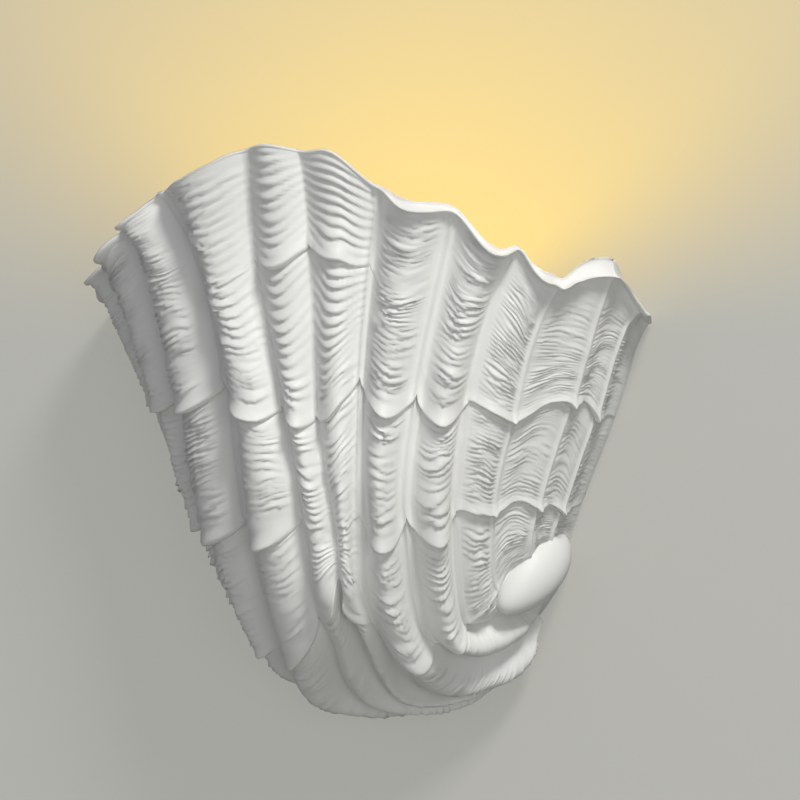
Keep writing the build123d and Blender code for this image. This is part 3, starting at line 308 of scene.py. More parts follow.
# --- Stage --------------------------------------------------------------------------------------
WALL_LIT_SHARE = 0.4  # of the wall's colour that takes the stage's light
WALL_LEVEL = 0.48  # what the camera sees of its colour besides
# The lamp's light is painted on the wall: a warm pool above the shell, in the wall's colour and its
# emission.
GLOW_CENTRE = (30, 40)
GLOW_ANGLE = (0.85, 1.6)  # from upright, in radians: where its fading starts and ends
GLOW_REACH = 300
GLOW_LEVEL = 0.62
GLOW_TINT = (0.95, 0.80, 0.32)
VIEW_AIM = (51.6, -75, 0)
SENSOR_WIDTH = 36
FAR_END = 50  # of what the camera sees, in metres
STAGE_REACH = 6.0  # from here on in metres
FLOOR_HEIGHT = -2.6
WALL_GAP = 0.0004  # the stage's wall is just behind the light
FLOOR_COLOUR = (0.62, 0.62, 0.59)
SKY_COLOUR = (0.93, 0.96, 1.0, 1)
SKY_STRENGTH = 0.24
LIGHT_TARGET = (0, -0.05, 0)
LIGHTS = (  # name, place, size, power and colour
    ("key_light", (2.2, -2.0, 2.9), 0.9, 110, (1.0, 0.99, 0.96)),
    ("front_light", (2.1, -2.7, 0.0), 1.2, 17, (1.0, 1.0, 0.98)),
    ("fill_light", (-1.6, -2.6, 1.0), 2.2, 3, (0.95, 0.97, 1.0)),
    ("back_light", (-0.6, 2.6, 1.2), 1.6, 22, (1.0, 1.0, 1.0)),
)


# --- Small tools --------------------------------------------------------------------------------
def smooth(x):
    """0 to 1, with level ends."""
    x = np.clip(x, 0, 1)
    return x * x * (3 - 2 * x)


def after(x, start, over):
    """0 up to a start, 1 once x is so far past it, and smooth between."""
    return smooth((x - start) / over)


def curve_through(x, knots, values):
    """A smooth curve of vectors through values at knots, for an array x."""
    knots = np.asarray(knots, float)
    values = np.asarray(values, float)
    step = np.diff(knots)[:, None]
    slope = np.diff(values, axis=0) / step
    tangent = np.empty_like(values)
    tangent[1:-1] = (slope[:-1] * step[1:] + slope[1:] * step[:-1]) / (step[:-1] + step[1:])
    tangent[0] = 1.5 * slope[0] - 0.5 * tangent[1]
    tangent[-1] = 1.5 * slope[-1] - 0.5 * tangent[-2]
    i = np.clip(np.searchsorted(knots, x, side="right") - 1, 0, len(knots) - 2)
    h = step[i]
    q = ((x - knots[i]) / h[:, 0])[:, None]
    return (
        (1 + 2 * q) * (1 - q) ** 2 * values[i]
        + q * (1 - q) ** 2 * h * tangent[i]
        + q * q * (3 - 2 * q) * values[i + 1]
        + q * q * (q - 1) * h * tangent[i + 1]
    )


def patches(x, y, seed):
    """Soft random patches of size 1, from -1 to 1, over two arrays of coordinates."""
    lattice = np.random.default_rng(seed).uniform(-1, 1, (64, 64))
    i, j = np.floor(x).astype(int), np.floor(y).astype(int)
    u, v = smooth(x - i), smooth(y - j)
    corner = [lattice[(i + a) % 64, (j + b) % 64] for a in (0, 1) for b in (0, 1)]
    low = corner[0] * (1 - v) + corner[1] * v
    high = corner[2] * (1 - v) + corner[3] * v
    return low * (1 - u) + high * u


def make_object(name, mesh, body, slot, *replaced):
    """Links a finished mesh to the scene, on its body, in its material slot."""
    piece = bpy.data.objects.new(name, mesh)
    bpy.context.scene.collection.objects.link(piece)
    mesh.materials.append(bpy.data.materials[slot])
    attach(piece, body)
    if replaced:
        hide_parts(*replaced)
    return piece


# --- The shell ----------------------------------------------------------------------------------
def line_places():
    """Where each line lies across the shell: 0 at the right edge, 1 at the left edge."""
    halfway = GROWTH.index(0.67) - 1
    points = np.array([line[halfway] for line in LINES.values()], float)
    places = np.concatenate([[0], np.cumsum(np.linalg.norm(np.diff(points, axis=0), axis=1))])
    return places / places[-1]


def rib_of(across):
    """The number of the rib at each place across the shell, and how far along the rib it lies."""
    places = line_places()
    k = np.clip(np.searchsorted(places, across, side="right") - 1, 0, len(places) - 2)
    return k, (across - places[k]) / (places[k + 1] - places[k])


def rib_values(across, at_lines, at_ribs, power=2):
    """A value that runs smoothly from line to rib to line."""
    k, s = rib_of(across)
    at_lines, at_ribs = np.array(at_lines, float), np.array(at_ribs, float)
    level = at_lines[k] * (1 - s) + at_lines[k + 1] * s
    between = (at_lines[k] + at_lines[k + 1]) / 2
    return level + (at_ribs[k] - between) * np.sin(np.pi * s) ** power


def body_points(across, growth):
    """The smooth body under the ribs: growth has a row for each place across."""
    lines = []
    for name, line in LINES.items():
        points = np.array((BEAK,) + line, float)
        if name.endswith("_edge"):
            points[0, 1] = 0
        lines.append(points)
    lines = np.array(lines)
    body = np.empty(growth.shape + (3,))
    at_stages = [curve_through(across, line_places(), lines[:, j]) for j in range(len(GROWTH))]
    at_stages = np.stack(at_stages, axis=1)
    for i in range(len(across)):
        body[i] = curve_through(growth[i], GROWTH, at_stages[i])
    body[..., 1] = -np.hypot(body[..., 1], BACK_GAP)
    return body


def add_knob(bm):
    """The beak's smooth egg-shaped knob."""
    axis, out = Vector(KNOB_AXIS).normalized(), Vector(KNOB_OUT).normalized()
    side = axis.cross(out).normalized()
    out = side.cross(axis)
    made = bmesh.ops.create_uvsphere(bm, u_segments=56, v_segments=40, radius=1)["verts"]
    length, width, height = KNOB_HALF
    for vert in made:
        z = vert.co.z
        egg = 1 + KNOB_EGG[0] * z - KNOB_EGG[1] * z * z
        place = Vector(KNOB_CENTRE) + axis * z * length
        place += side * vert.co.x * width * egg + out * vert.co.y * height * egg
        place.y = min(place.y, -BACK_GAP)
        vert.co = place * MM


def hem_shift(across, growth):
    """How much lower than its growth a row hangs on the crests: most of all at a hem."""
    drops = [
        rib_values(across, *both, SCALLOP_POWER) for both in zip(HEM_LINE_DROPS, HEM_DROPS)
    ]
    drops = np.stack(drops, axis=1)
    between = rib_values(across, HEM_LINE_DROPS[-1], ROW_SAG_RIBS, SAG_POWER)[:, None]
    away = np.abs(growth[None] - np.array(HEM_STAGES)[:, None])
    drop = drops[:, away.argmin(axis=0)]
    follows = np.exp(-((away.min(axis=0) * MEAN_LENGTH / HEM_SPREAD) ** 2))[None]
    drop = (between + (drop - between) * follows) / MEAN_LENGTH
    return drop * after(growth, 0.1, 0.15) * (1 - after(growth, 0.9, 0.1))


def hem_ragged(across, growth):
    """Small uneven dips of the rows, as a growth."""
    wide = across * MEAN_WIDTH / RAGGED_WIDTH
    ragged = patches(wide[:, None], growth[None] * RAGGED_STAGES, 21)
    ragged = HEM_RAGGED * ragged * smooth(across / 0.02)[:, None] / MEAN_LENGTH
    return ragged * after(growth, 0.1, 0.15)


def valley_share(across, widths, wider=1.0):
    """Where each place lies across its rib's tube, from 0 to 1, without the open valleys."""
    k, s = rib_of(across)
    half_open = np.array(VALLEY_WIDTH, float)
    first = np.clip(half_open[k][:, None] * wider / widths, 0, VALLEY_MOST)
    last = np.clip(half_open[k + 1][:, None] * wider / widths, 0, VALLEY_MOST)
    return np.clip((s[:, None] - first) / (1 - first - last), 0, 1)


def hems(across, growth, height):
    """The layers of growth, each hung over the older one below: lift, slide and the painted shade
    under each hem.
    """
    lift = np.zeros((len(across), len(growth)))
    slide = np.zeros_like(lift)
    painted_shade = np.zeros_like(lift)
    for stage, at_lines, at_ribs in zip(HEM_STAGES, HEM_LINES, HEM_RIBS):
        weight = rib_values(across, at_lines, at_ribs)[:, None]
        above = (growth - stage)[None] * MEAN_LENGTH
        nose = np.sqrt(np.clip(1 - (1 - np.clip(above / HEM_NOSE, 0, 1)) ** 2, 0, 1))
        layer = LAYER_SHARE * np.clip(1 - above / HEM_FADE, 0, 1) ** LAYER_POWER
        curl = (1 - LAYER_SHARE) * np.clip(1 - above / HEM_CURL, 0, 1) ** CURL_POWER
        lift += weight * height * np.where(above >= 0, nose * (layer + curl), 0)
        under = np.where(above < 0, np.exp(above / HEM_SHADE), 0)
        lift -= weight * HEM_UNDERCUT * height * under
        slide += weight * under
        # The band under each hem gets painted shade.
        painted_shade += weight * under
        slide -= weight * HEM_HANG * np.where(above >= 0, 1 - smooth(above / (HEM_BAND + 3)), 0)
    return lift, slide, painted_shade


def lip_flare(across, growth):
    """How far the rim curls out, and how much its outer corner hangs below the inner one."""
    weight = rib_values(across, LIP_LINES, LIP_RIBS)
    near = np.clip(1 - (1 - growth) * MEAN_LENGTH / LIP_REACH, 0, None)
    curl = weight[:, None] * near**2
    return LIP_FLARE * curl, LIP_TILT * curl


def wavy_share(across, growth):
    """Which places are on the narrow pair, and how far the joined wrinkles wave there."""
    k, s = rib_of(across)
    paired = (k == PAIR[0]) | (k == PAIR[1])
    beside = np.where(k == SMOOTH_RIB, 1 - after(s, 0.3, 0.35), 0)
    joined = np.where(paired, 1, beside)[:, None]
    return paired[:, None], joined * after(growth[None], *WAVED_FROM)


def wrinkle_places(across, growth):
    """Each place's distance in millimetres along its rib, and across the shell."""
    k, _ = rib_of(across)
    places = line_places()
    crest_drop = hem_shift((places[k] + places[k + 1]) / 2, growth) * MEAN_LENGTH
    stretch = 1 + LOW_STRETCH * (1 - after(growth, 0.26, 0.08))
    run = np.concatenate([[0], np.cumsum((stretch[1:] + stretch[:-1]) / 2 * np.diff(growth))])
    run = (run - run[-1] + growth[-1]) * MEAN_LENGTH
    along = run[None] - crest_drop + np.array(WRINKLE_START)[k][:, None]
    return along, np.broadcast_to((across * MEAN_WIDTH)[:, None], along.shape)


def mottled(along, aside, sizes):
    """The sum of several soft random patches: strength, width, length and seed of each."""
    total = 0
    for strength, wide, long, seed in sizes:
        total = total + strength * patches(aside / wide, along / long, seed)
    return total


def wrinkle_weight(across, growth, widths, along, aside):
    """How deep the wrinkles are at each place, for a depth of 1."""
    k, s = rib_of(across)
    paired, waved = wavy_share(across, growth)
    weight = rib_values(across, WRINKLE_LINES, WRINKLE_RIBS, 0.5)[:, None]
    tube = valley_share(across, widths, 1.25)
    on_tube = smooth(tube / CLEAR_SHARE) * smooth((1 - tube) / CLEAR_SHARE)
    weight = weight * np.maximum(on_tube, 0.85 * np.maximum(waved, 0.5 * paired))
    uneven = 0.75 * (1 - 0.7 * waved) * patches(aside / 15, along / 8, 14)
    weight = weight * np.clip(0.85 + uneven, 0.12, 1.4)
    bare = np.exp(-(((s - BARE_PLACE) / BARE_SHARE) ** 2))
    bare = np.where(k == SMOOTH_RIB, bare, 0)[:, None]
    weight = weight * (1 - 0.85 * bare * (1 - after(growth, 0.7, 0.12)) * after(growth, 0.27, 0.08))
    lip = rib_values(across, (0.8,) * 14, LIP_SMOOTH)[:, None]
    from_rim = (growth - 1) * MEAN_LENGTH
    weight = weight * (1 - np.maximum(lip * smooth(from_rim / 7 + 2.1), smooth(from_rim / 3 + 2)))
    for stage, at_lines, at_ribs in zip(HEM_STAGES, HEM_LINES, HEM_RIBS):
        above = (growth - stage)[None] * MEAN_LENGTH
        band = after(above, -1, 1.5) * (1 - after(above, HEM_BAND - 2, 4))
        hem = np.clip(rib_values(across, at_lines, at_ribs), 0, 1)[:, None]
        weight = weight * (1 - 0.9 * band * hem)
    weight = weight * edge_fade(across) * (0.5 + 0.5 * after(growth, 0.24, 0.1))
    weight = weight * np.clip(widths / FULL_WIDTH, 0, 1) ** 1.3
    middle = rib_values(across, (0,) * 14, MIDDLE_RIBS)[:, None]
    weight = weight * (1 + MIDDLE_BOLD * middle * after(growth, 0.66, 0.1))
    by_knob, low = BELOW_KNOB
    by_knob = 1 - after(across[:, None], *by_knob)
    return weight * (1 - 0.75 * by_knob * (1 - after(growth, *low)))


def edge_fade(across):
    """1 on the shell, and 0 at its two back edges."""
    return (smooth(across / EDGE_SHARE) * smooth((1 - across) / EDGE_SHARE))[:, None]


def wrinkles(across, growth, widths, depth, spacing):
    """The fine growth wrinkles, small layers over one another: lift, slide and the painted shade on
    their undersides.
    """
    k, s = rib_of(across)
    paired, waved = wavy_share(across, growth)
    along, aside = wrinkle_places(across, growth)
    phase = along / (spacing * np.array(WRINKLE_STEP)[k][:, None])
    even = 1 - 0.8 * waved - 0.35 * paired * (1 - waved)
    phase = phase + mottled(along, aside, WRINKLE_PATCHES) * even
    phase = phase + WAVE_HEIGHT * waved * (np.sin(np.pi * s) ** WAVE_POWER)[:, None]
    part = phase - np.floor(phase)
    shape = (1 - part) ** 1.2 * smooth(part / WRINKLE_FACE) * WRINKLE_CROWN
    weight = wrinkle_weight(across, growth, widths, along, aside)
    calm = rib_values(across, (0.25,) * 14, (0.8,) * 13)[:, None]
    lumps = edge_fade(across) * calm * mottled(along, aside, LUMP_PATCHES)
    # Painted shade on the steep underside of each wrinkle.
    beside = np.abs(part - RECESS_PLACE)
    painted_shade = weight * np.exp(-((np.minimum(beside, 1 - beside) / RECESS_SHARE) ** 2))
    raised = depth * weight * shape
    return raised + lumps, -WRINKLE_HANG * raised, painted_shade


def rib_threads(across, growth, widths):
    """The thin raised lines that run along the ribs' borders."""
    k, s = rib_of(across)
    heights = np.array(THREAD_HEIGHT, float)
    low = np.exp(-((s[:, None] * widths / THREAD_WIDTH) ** 2)) * heights[k][:, None]
    high = np.exp(-(((1 - s)[:, None] * widths / THREAD_WIDTH) ** 2)) * heights[k + 1][:, None]
    return (low + high) * after(growth, 0.2, 0.15)


def rib_relief(across, growth, widths=None):
    """The ribs' height over the body: as cast, or, with widths, as tubes with open valleys."""
    k, s = rib_of(across)
    bulge = np.array(BULGE_OUT, float)[k][:, None]
    relief = np.interp(across, line_places(), LINE_RELIEF)[:, None]
    size = smooth(growth / 0.2) * (0.2 + 0.8 * growth)
    if widths is None:
        return (relief + bulge * np.sin(np.pi * s)[:, None] ** 2) * size
    bold = smooth(growth / 0.1) * (1.05 - 0.05 * after(growth, 0.12, 0.3))
    low = after(growth, 0.16, 0.05) * (1 - after(growth, 0.24, 0.12))
    deep = VALLEY_DEPTH * (1 + LOW_VALLEY * low)
    arch = np.sin(np.pi * valley_share(across, widths, 0.3 + 0.7 * after(growth, 0.15, 0.3)))
    tube = np.where(bulge > 0, 0.2 * arch**2 + 0.8 * arch**0.7, arch**2)
    tall = np.minimum(RIB_FULLNESS * bulge * bold, RIB_TALLEST * widths)
    tall = np.where(bulge > 0, tall, bulge * size)
    return relief * size + tall * tube - deep * (1 - tube) * (bulge > 3) * bold


def lifted(across, growth, normal, body, rise, flare):
    """A skin at a height over the body, with the rim's curl and its back edges on the wall."""
    k, s = rib_of(across)
    skin = body + normal * (rise + flare + RIM_FLARE * after(growth, 0.88, 0.12))[..., None]
    up = np.array(BULGE_UP, float)[k] * np.sin(np.pi * s) ** 2
    skin[..., 2] += up[:, None] * after(growth, 0.7, 0.3)
    knuckle = np.array(KNUCKLE_LINES, float)
    near = 1 - smooth(np.minimum(s, 1 - s) / KNUCKLE_SHARE)
    near = np.where(s < 0.5, knuckle[k], knuckle[k + 1]) * near
    skin[..., 2] += near[:, None] * after(growth, 0.9, 0.1)
    depth = -body[..., 1]
    least = np.maximum(depth * (1 - smooth(depth / EDGE_ZONE - 1)), BACK_GAP)
    skin[..., 1] = np.minimum(skin[..., 1], -least)
    skin[[0, -1], :, 1] = -BACK_GAP
    return skin


def body_normals(across, rows, body):
    """The outward normals of the smooth body."""
    along = np.gradient(body, rows, axis=1)
    over = np.gradient(body, across, axis=0)
    normal = np.cross(along, over)
    return normal / np.linalg.norm(normal, axis=2)[..., None], np.linalg.norm(over, axis=2)


def outer_skin(across, rows, settings):
    """The outer face with its ribs, hems and wrinkles, and the painted shade under its hems and
    wrinkles.
    """
    plain = body_points(across, np.broadcast_to(rows, (len(across), len(rows))))
    normal, width = body_normals(across, rows, plain)
    widths = width * np.diff(line_places())[rib_of(across)[0]][:, None]
    flare, tilt = lip_flare(across, rows)
    lift, slide, shaded = hems(across, rows, settings.hem_height / MM)
    folds, folds_slide, notch_shade = wrinkles(
        across, rows, widths, settings.wrinkle_depth / MM, settings.wrinkle_spacing / MM
    )
    growth = rows[None] - hem_shift(across, rows) - hem_ragged(across, rows)
    growth = growth + (slide + folds_slide - tilt) / MEAN_LENGTH
    body = body_points(across, growth)
    rise = rib_relief(across, growth, widths) + lift + folds + rib_threads(across, rows, widths)
    return lifted(across, growth, normal, body, rise, flare), np.clip(shaded + notch_shade, 0, 1)


def inner_skin(across, rows):
    """The plain inner face, a wall's thickness inside, towards the bowl's heart."""
    growth = np.broadcast_to(rows, (len(across), len(rows)))
    body = body_points(across, growth)
    normal, _ = body_normals(across, rows, body)
    flare, _ = lip_flare(across, rows)
    skin = lifted(across, growth, normal, body, rib_relief(across, growth), flare)
    back = after(rows, 0.1, 0.5)[:, None]
    inward = (skin[0] + skin[-1]) / 2 * back + np.array(HEART) * (1, -1, 1) * (1 - back) - skin
    inward[[0, -1], :, 1] = 0
    inward /= np.linalg.norm(inward, axis=2)[..., None]
    return skin + inward * WALL


def hollow_end(across, ring):
    """Rows that close the hollow from its first ring straight to the wall, over the solid beak."""
    chord = ring[:1] + (ring[-1:] - ring[:1]) * across[:, None]
    steps = np.linspace(0, 1, END_ROWS + 1)[1:]
    return np.stack([ring + (chord - ring) * q for q in steps], axis=1)


def skirt(ring):
    """Rows that carry the outer face from its first ring round to the wall under the beak."""
    run = np.concatenate([[0], np.cumsum(np.linalg.norm(np.diff(ring, axis=0), axis=1))])
    corner = np.array(SKIRT_WALL, float)
    reach = np.concatenate([[0], np.cumsum(np.linalg.norm(np.diff(corner, axis=0), axis=1))])
    place = run / run[-1] * reach[-1]
    wall = np.stack([np.interp(place, reach, corner[:, i]) for i in range(2)], axis=1)
    wall = np.stack([wall[:, 0], np.full(len(ring), -BACK_GAP), wall[:, 1]], axis=1)
    wall[[0, -1]] = ring[[0, -1]]
    out = wall.copy()
    out[:, 1] = ring[:, 1] * 0.9
    out = out + (out - ring) * 0.15
    rows = []
    for q in np.linspace(0, 1, SKIRT_ROWS + 1)[:-1]:
        rows.append(wall * (1 - q) ** 2 + out * 2 * q * (1 - q) + ring * q**2)
    return np.stack(rows, axis=1)


def shell_rows(spacing):
    """Stages of growth a set distance apart, with more of them around each hem."""
    trial = np.linspace(FIRST_STAGE, 1, 400)
    across = np.linspace(0.1, 0.9, 17)
    body = body_points(across, np.broadcast_to(trial, (len(across), len(trial))))
    length = np.linalg.norm(np.diff(body, axis=1), axis=2).mean(axis=0)
    wanted = length / spacing
    run = np.concatenate([[0], np.cumsum(wanted)])
    rows = np.interp(np.linspace(0, run[-1], int(run[-1])), run, trial)
    for stage in HEM_STAGES:
        rows = rows[np.abs((rows - stage) * MEAN_LENGTH) > -HEM_ROWS[0] + 0.5]
        rows = np.concatenate([rows, stage + np.array(HEM_ROWS) / MEAN_LENGTH])
    return np.sort(rows)


def shell_columns():
    """Places across the shell, closer together beside each line."""
    places = line_places()
    share = np.array(RIB_COLUMNS)
    columns = [low + (high - low) * share for low, high in zip(places, places[1:])]
    return np.append(np.concatenate(columns), 1)


def shell_mesh(settings):
    """One closed wall: outer face, rounded lip, inner face and back edges."""
    across = shell_columns()
    rows = shell_rows(settings.row_spacing / MM)
    outer, painted_shade = outer_skin(across, rows, settings)
    near_rim = 1 - LIP_REACH / MEAN_LENGTH
    inner_rows = np.linspace(near_rim, HOLLOW_STAGE, INNER_ROWS)
    inner_rows = np.concatenate([np.linspace(1, near_rim, 7)[:-1], inner_rows])
    inner = inner_skin(across, inner_rows[::-1])[:, ::-1]
    centre = (outer[:, -1] + inner[:, 0]) / 2
    towards = outer[:, -1] - centre
    over = np.gradient(centre, axis=0)
    crown = np.cross(over, towards)
    crown /= -np.linalg.norm(crown, axis=1)[:, None]
    lip = []
    for turn in np.linspace(0, np.pi, LIP_ROWS + 2)[1:-1]:
        out, up = np.cos(turn), np.sin(turn)
        side = np.sign(out) * abs(out) ** LIP_CORNER
        lip.append(centre + towards * side + crown * (LIP_CROWN * up**LIP_CORNER))
    start = skirt(outer[:, 0])
    end = hollow_end(across, inner[:, -1])
    points = np.concatenate([start, outer, np.stack(lip, axis=1), inner, end], axis=1)
    points[[0, -1], :, 1] = -BACK_GAP
    rows = np.concatenate([np.linspace(0, FIRST_STAGE, SKIRT_ROWS + 1)[:-1], rows])
    columns, lines = points.shape[:2]

    bm = bmesh.new()
    bmesh.ops.create_grid(bm, x_segments=columns - 1, y_segments=lines - 1, size=1)
    bm.verts.ensure_lookup_table()
    grid = np.array([vert.co[:] for vert in bm.verts])
    i = np.rint((grid[:, 0] + 1) / 2 * (columns - 1)).astype(int)
    j = np.rint((grid[:, 1] + 1) / 2 * (lines - 1)).astype(int)
    for vert, co in zip(bm.verts, points[i, j] * MM):
        vert.co = co
    uv = bm.loops.layers.uv.new("UVMap")
    run = np.concatenate([rows, np.full(LIP_ROWS, 1.0), inner_rows, np.zeros(END_ROWS)])
    run = run * MEAN_LENGTH * MM
    wide = across * MEAN_WIDTH * MM
    for face in bm.faces:
        for loop in face.loops:
            n = loop.vert.index
            loop[uv].uv = (wide[i[n]], run[j[n]])
    # Painted shade for the plaster: darker in the rib valleys, more so low on the shell, and under
    # the hems and wrinkles.
    shade = bm.verts.layers.float.new("painted_shade")
    _, s = rib_of(across)
    valley = np.exp(-((np.minimum(s, 1 - s) / VALLEY_SHADE) ** 2))[:, None]
    dark = np.zeros((columns, lines))
    dark[:, :len(rows)] = valley * (0.4 + 0.6 * (1 - after(rows, 0.22, 0.12)))
    dark[:, SKIRT_ROWS:len(rows)] += painted_shade
    for n, vert in enumerate(bm.verts):
        vert[shade] = min(1, dark[i[n], j[n]])
    around = [edge for edge in bm.edges if edge.is_boundary]
    bmesh.ops.triangle_fill(bm, edges=around, use_beauty=True)
    add_knob(bm)
    add_bosses(bm)
    return bm


def edge_out(side, height):
    """How far to one side the shell's back edge is at a height."""
    line = LINES["left_edge" if side < 0 else "right_edge"][3:]
    return abs(np.interp(height, [point[2] for point in line], [point[0] for point in line]))


def add_bosses(bm):
    """The two blocks inside the wall that the hangers are screwed to, round their inserts."""
    middle = sum(BOSS_HEIGHTS) / 2
    for side in (-1, 1):
        inner = edge_out(side, middle) - BOSS_INSET - BOSS_MARGIN
        made = bmesh.ops.create_cube(bm, size=1)["verts"]
        for vert in made:
            height = BOSS_HEIGHTS[vert.co.z > 0]
            reach = edge_out(side, height) - BOSS_SINK if vert.co.x * side > 0 else inner
            back = BOSS_BACK - (BOSS_DEPTH if vert.co.y < 0 else 0)
            vert.co = Vector((side * reach, back, height)) * MM
        edges = {edge for vert in made for edge in vert.link_edges}
        bmesh.ops.bevel(
            bm, geom=list(edges), offset=BOSS_ROUND * MM, affect="EDGES", segments=3, profile=0.5,
            material=-1,
        )


# --- The fittings that need more than their CAD shape -------------------------------------------
def lathe(profile):
    """A closed turned body: a profile of (radius, height) spun once round the lamp's axis."""
    bm = bmesh.new()
    axis = Vector((LAMP_X, LAMP_Y, 0)) * MM
    verts = [bm.verts.new(axis + Vector((radius, 0, height)) * MM) for radius, height in profile]
    edges = [bm.edges.new(pair) for pair in zip(verts, verts[1:])]
    bmesh.ops.spin(
        bm, geom=verts + edges, cent=axis, axis=(0, 0, 1), angle=math.tau, steps=TURNED_STEPS,
        use_merge=True,
    )
    bmesh.ops.remove_doubles(bm, verts=bm.verts, dist=1e-6)
    bmesh.ops.recalc_face_normals(bm, faces=bm.faces)
    return bm


def steps_up(radius, low, high, spacing):
    """Points of a straight wall, close enough together to carry a thread."""
    count = max(2, round(abs(high - low) / spacing))
    return [(radius, low + (high - low) * i / count) for i in range(count + 1)]


def cut_thread(bm, low, high, inside, outside):
    """Turns the walls between two radii into a rounded screw thread that runs out at both ends."""
    for vert in bm.verts:
        across, up = vert.co.xy / MM - Vector((LAMP_X, LAMP_Y)), vert.co.z / MM
        if not inside <= across.length <= outside or not low <= up <= high:
            continue
        turn = math.atan2(across.y, across.x) / math.tau
        wave = 0.5 + 0.5 * math.cos(math.tau * ((up - THREAD_FROM) / THREAD_PITCH - turn))
        fade = min(1, (up - low) / THREAD_RUN_OUT, (high - up) / THREAD_RUN_OUT)
        across *= 1 - THREAD_DEPTH * fade * (1 - wave**0.8) / across.length
        vert.co.xy = (across + Vector((LAMP_X, LAMP_Y))) * MM


def bulb_cap():
    """The lamp's screw cap."""
    shoulder = CAP_BOTTOM + CAP_SHOULDER
    inside = CAP_RADIUS - CAP_WALL
    profile = [(0, CAP_BOTTOM), (INSULATOR_RADIUS - 0.3, CAP_BOTTOM)]
    profile += [(INSULATOR_RADIUS, CAP_BOTTOM + 0.1), (CAP_RADIUS - THREAD_DEPTH, shoulder - 0.8)]
    profile += steps_up(CAP_RADIUS, shoulder, CAP_TOP, THREAD_STEP)
    profile += [(inside, CAP_TOP), (inside - THREAD_DEPTH, shoulder + 1)]
    profile += [(INSULATOR_RADIUS, CAP_BOTTOM + CAP_WALL), (0, CAP_BOTTOM + CAP_WALL)]
    bm = lathe(profile)
    cut_thread(bm, shoulder, CAP_TOP - CAP_COLLAR, CAP_RADIUS - 0.1, CAP_RADIUS + 0.1)
    return bm


def screw_sleeve():
    """The holder's thin threaded sleeve."""
    outside = SLEEVE_BORE + SLEEVE_WALL
    profile = steps_up(SLEEVE_BORE, SLEEVE_BOTTOM, SLEEVE_TOP, THREAD_STEP)
    profile += steps_up(outside, SLEEVE_TOP, SLEEVE_BOTTOM, THREAD_STEP)
    bm = lathe(profile + profile[:1])
    cut_thread(bm, SLEEVE_BOTTOM, SLEEVE_TOP, SLEEVE_BORE - 0.1, outside + 0.1)
    return bm


def felt_pads():
    """Four small felt discs with soft, slightly furry edges."""
    bm = bmesh.new()
    scatter = np.random.default_rng(5)
    for side, height in PADS:
        centre = Vector((side * (edge_out(side, height) - WALL / 2), -BACK_GAP / 2, height))
        made = bmesh.ops.create_uvsphere(bm, u_segments=40, v_segments=20, radius=1)["verts"]
        for vert in made:
            across = vert.co.xy
            round_edge = math.copysign(min(1, abs(vert.co.z) ** 0.35), vert.co.z)
            if across.length > 1e-4:
                across *= across.length**-0.75 * (PAD_RADIUS - PAD_FUZZ * scatter.uniform(0, 1))
            thick = BACK_GAP / 2 - PAD_FUZZ * scatter.uniform(0, 0.4)
            vert.co = (centre + Vector((across.x, round_edge * thick, across.y))) * MM
    return bm


# --- Materials ----------------------------------------------------------------------------------
def new_group(name, inputs, outputs):
    """An empty shader group with the named number or colour sockets."""
    group = bpy.data.node_groups.new(name, "ShaderNodeTree")
    for label, kind, value in inputs:
        socket = group.interface.new_socket(label, in_out="INPUT", socket_type=kind)
        socket.default_value = value
    for label, kind in outputs:
        group.interface.new_socket(label, in_out="OUTPUT", socket_type=kind)
    return group, group.nodes.new("NodeGroupInput"), group.nodes.new("NodeGroupOutput")


def node(tree, kind, links=(), **settings):
    """A shader node with its settings, and links or values for its inputs."""
    made = tree.nodes.new(kind)
    for key, value in settings.items():
        setattr(made, key, value)
    for socket, value in dict(links).items():
        if isinstance(value, bpy.types.NodeSocket):
            tree.links.new(value, made.inputs[socket])
        else:
            made.inputs[socket].default_value = value
    return made


def maths(tree, operation, *values):
    """A number worked out from other numbers."""
    values = dict(enumerate(values))
    return node(tree, "ShaderNodeMath", values, operation=operation).outputs[0]


def vectors(tree, operation, *values):
    """A colour or a place worked out from others."""
    values = dict(enumerate(values))
    return node(tree, "ShaderNodeVectorMath", values, operation=operation).outputs[0]


def scaled(tree, colour, amount):
    """A colour made stronger or weaker."""
    values = {0: colour, "Scale": amount}
    return node(tree, "ShaderNodeVectorMath", values, operation="SCALE").outputs[0]


def ranged(tree, value, low, high, first, last, kind="LINEAR"):
    """A value that goes from first to last while another goes from low to high."""
    values = {"Value": value, "From Min": low, "From Max": high, "To Min": first, "To Max": last}
    return node(tree, "ShaderNodeMapRange", values, interpolation_type=kind).outputs[0]


def noise(tree, place, scale, detail):
    """A soft random pattern."""
    values = {"Vector": place, "Scale": scale, "Detail": detail}
    return node(tree, "ShaderNodeTexNoise", values).outputs[0]


def add_bump(tree, height, strength, depth, under=None):
    """A bump's normal, on top of another bump's where there is one."""
    values = {"Height": height, "Strength": strength, "Distance": depth}
    if under is not None:
        values["Normal"] = under
    return node(tree, "ShaderNodeBump", values).outputs[0]


def object_place(tree):
    """Where a point lies on its object."""
    return node(tree, "ShaderNodeTexCoord").outputs["Object"]


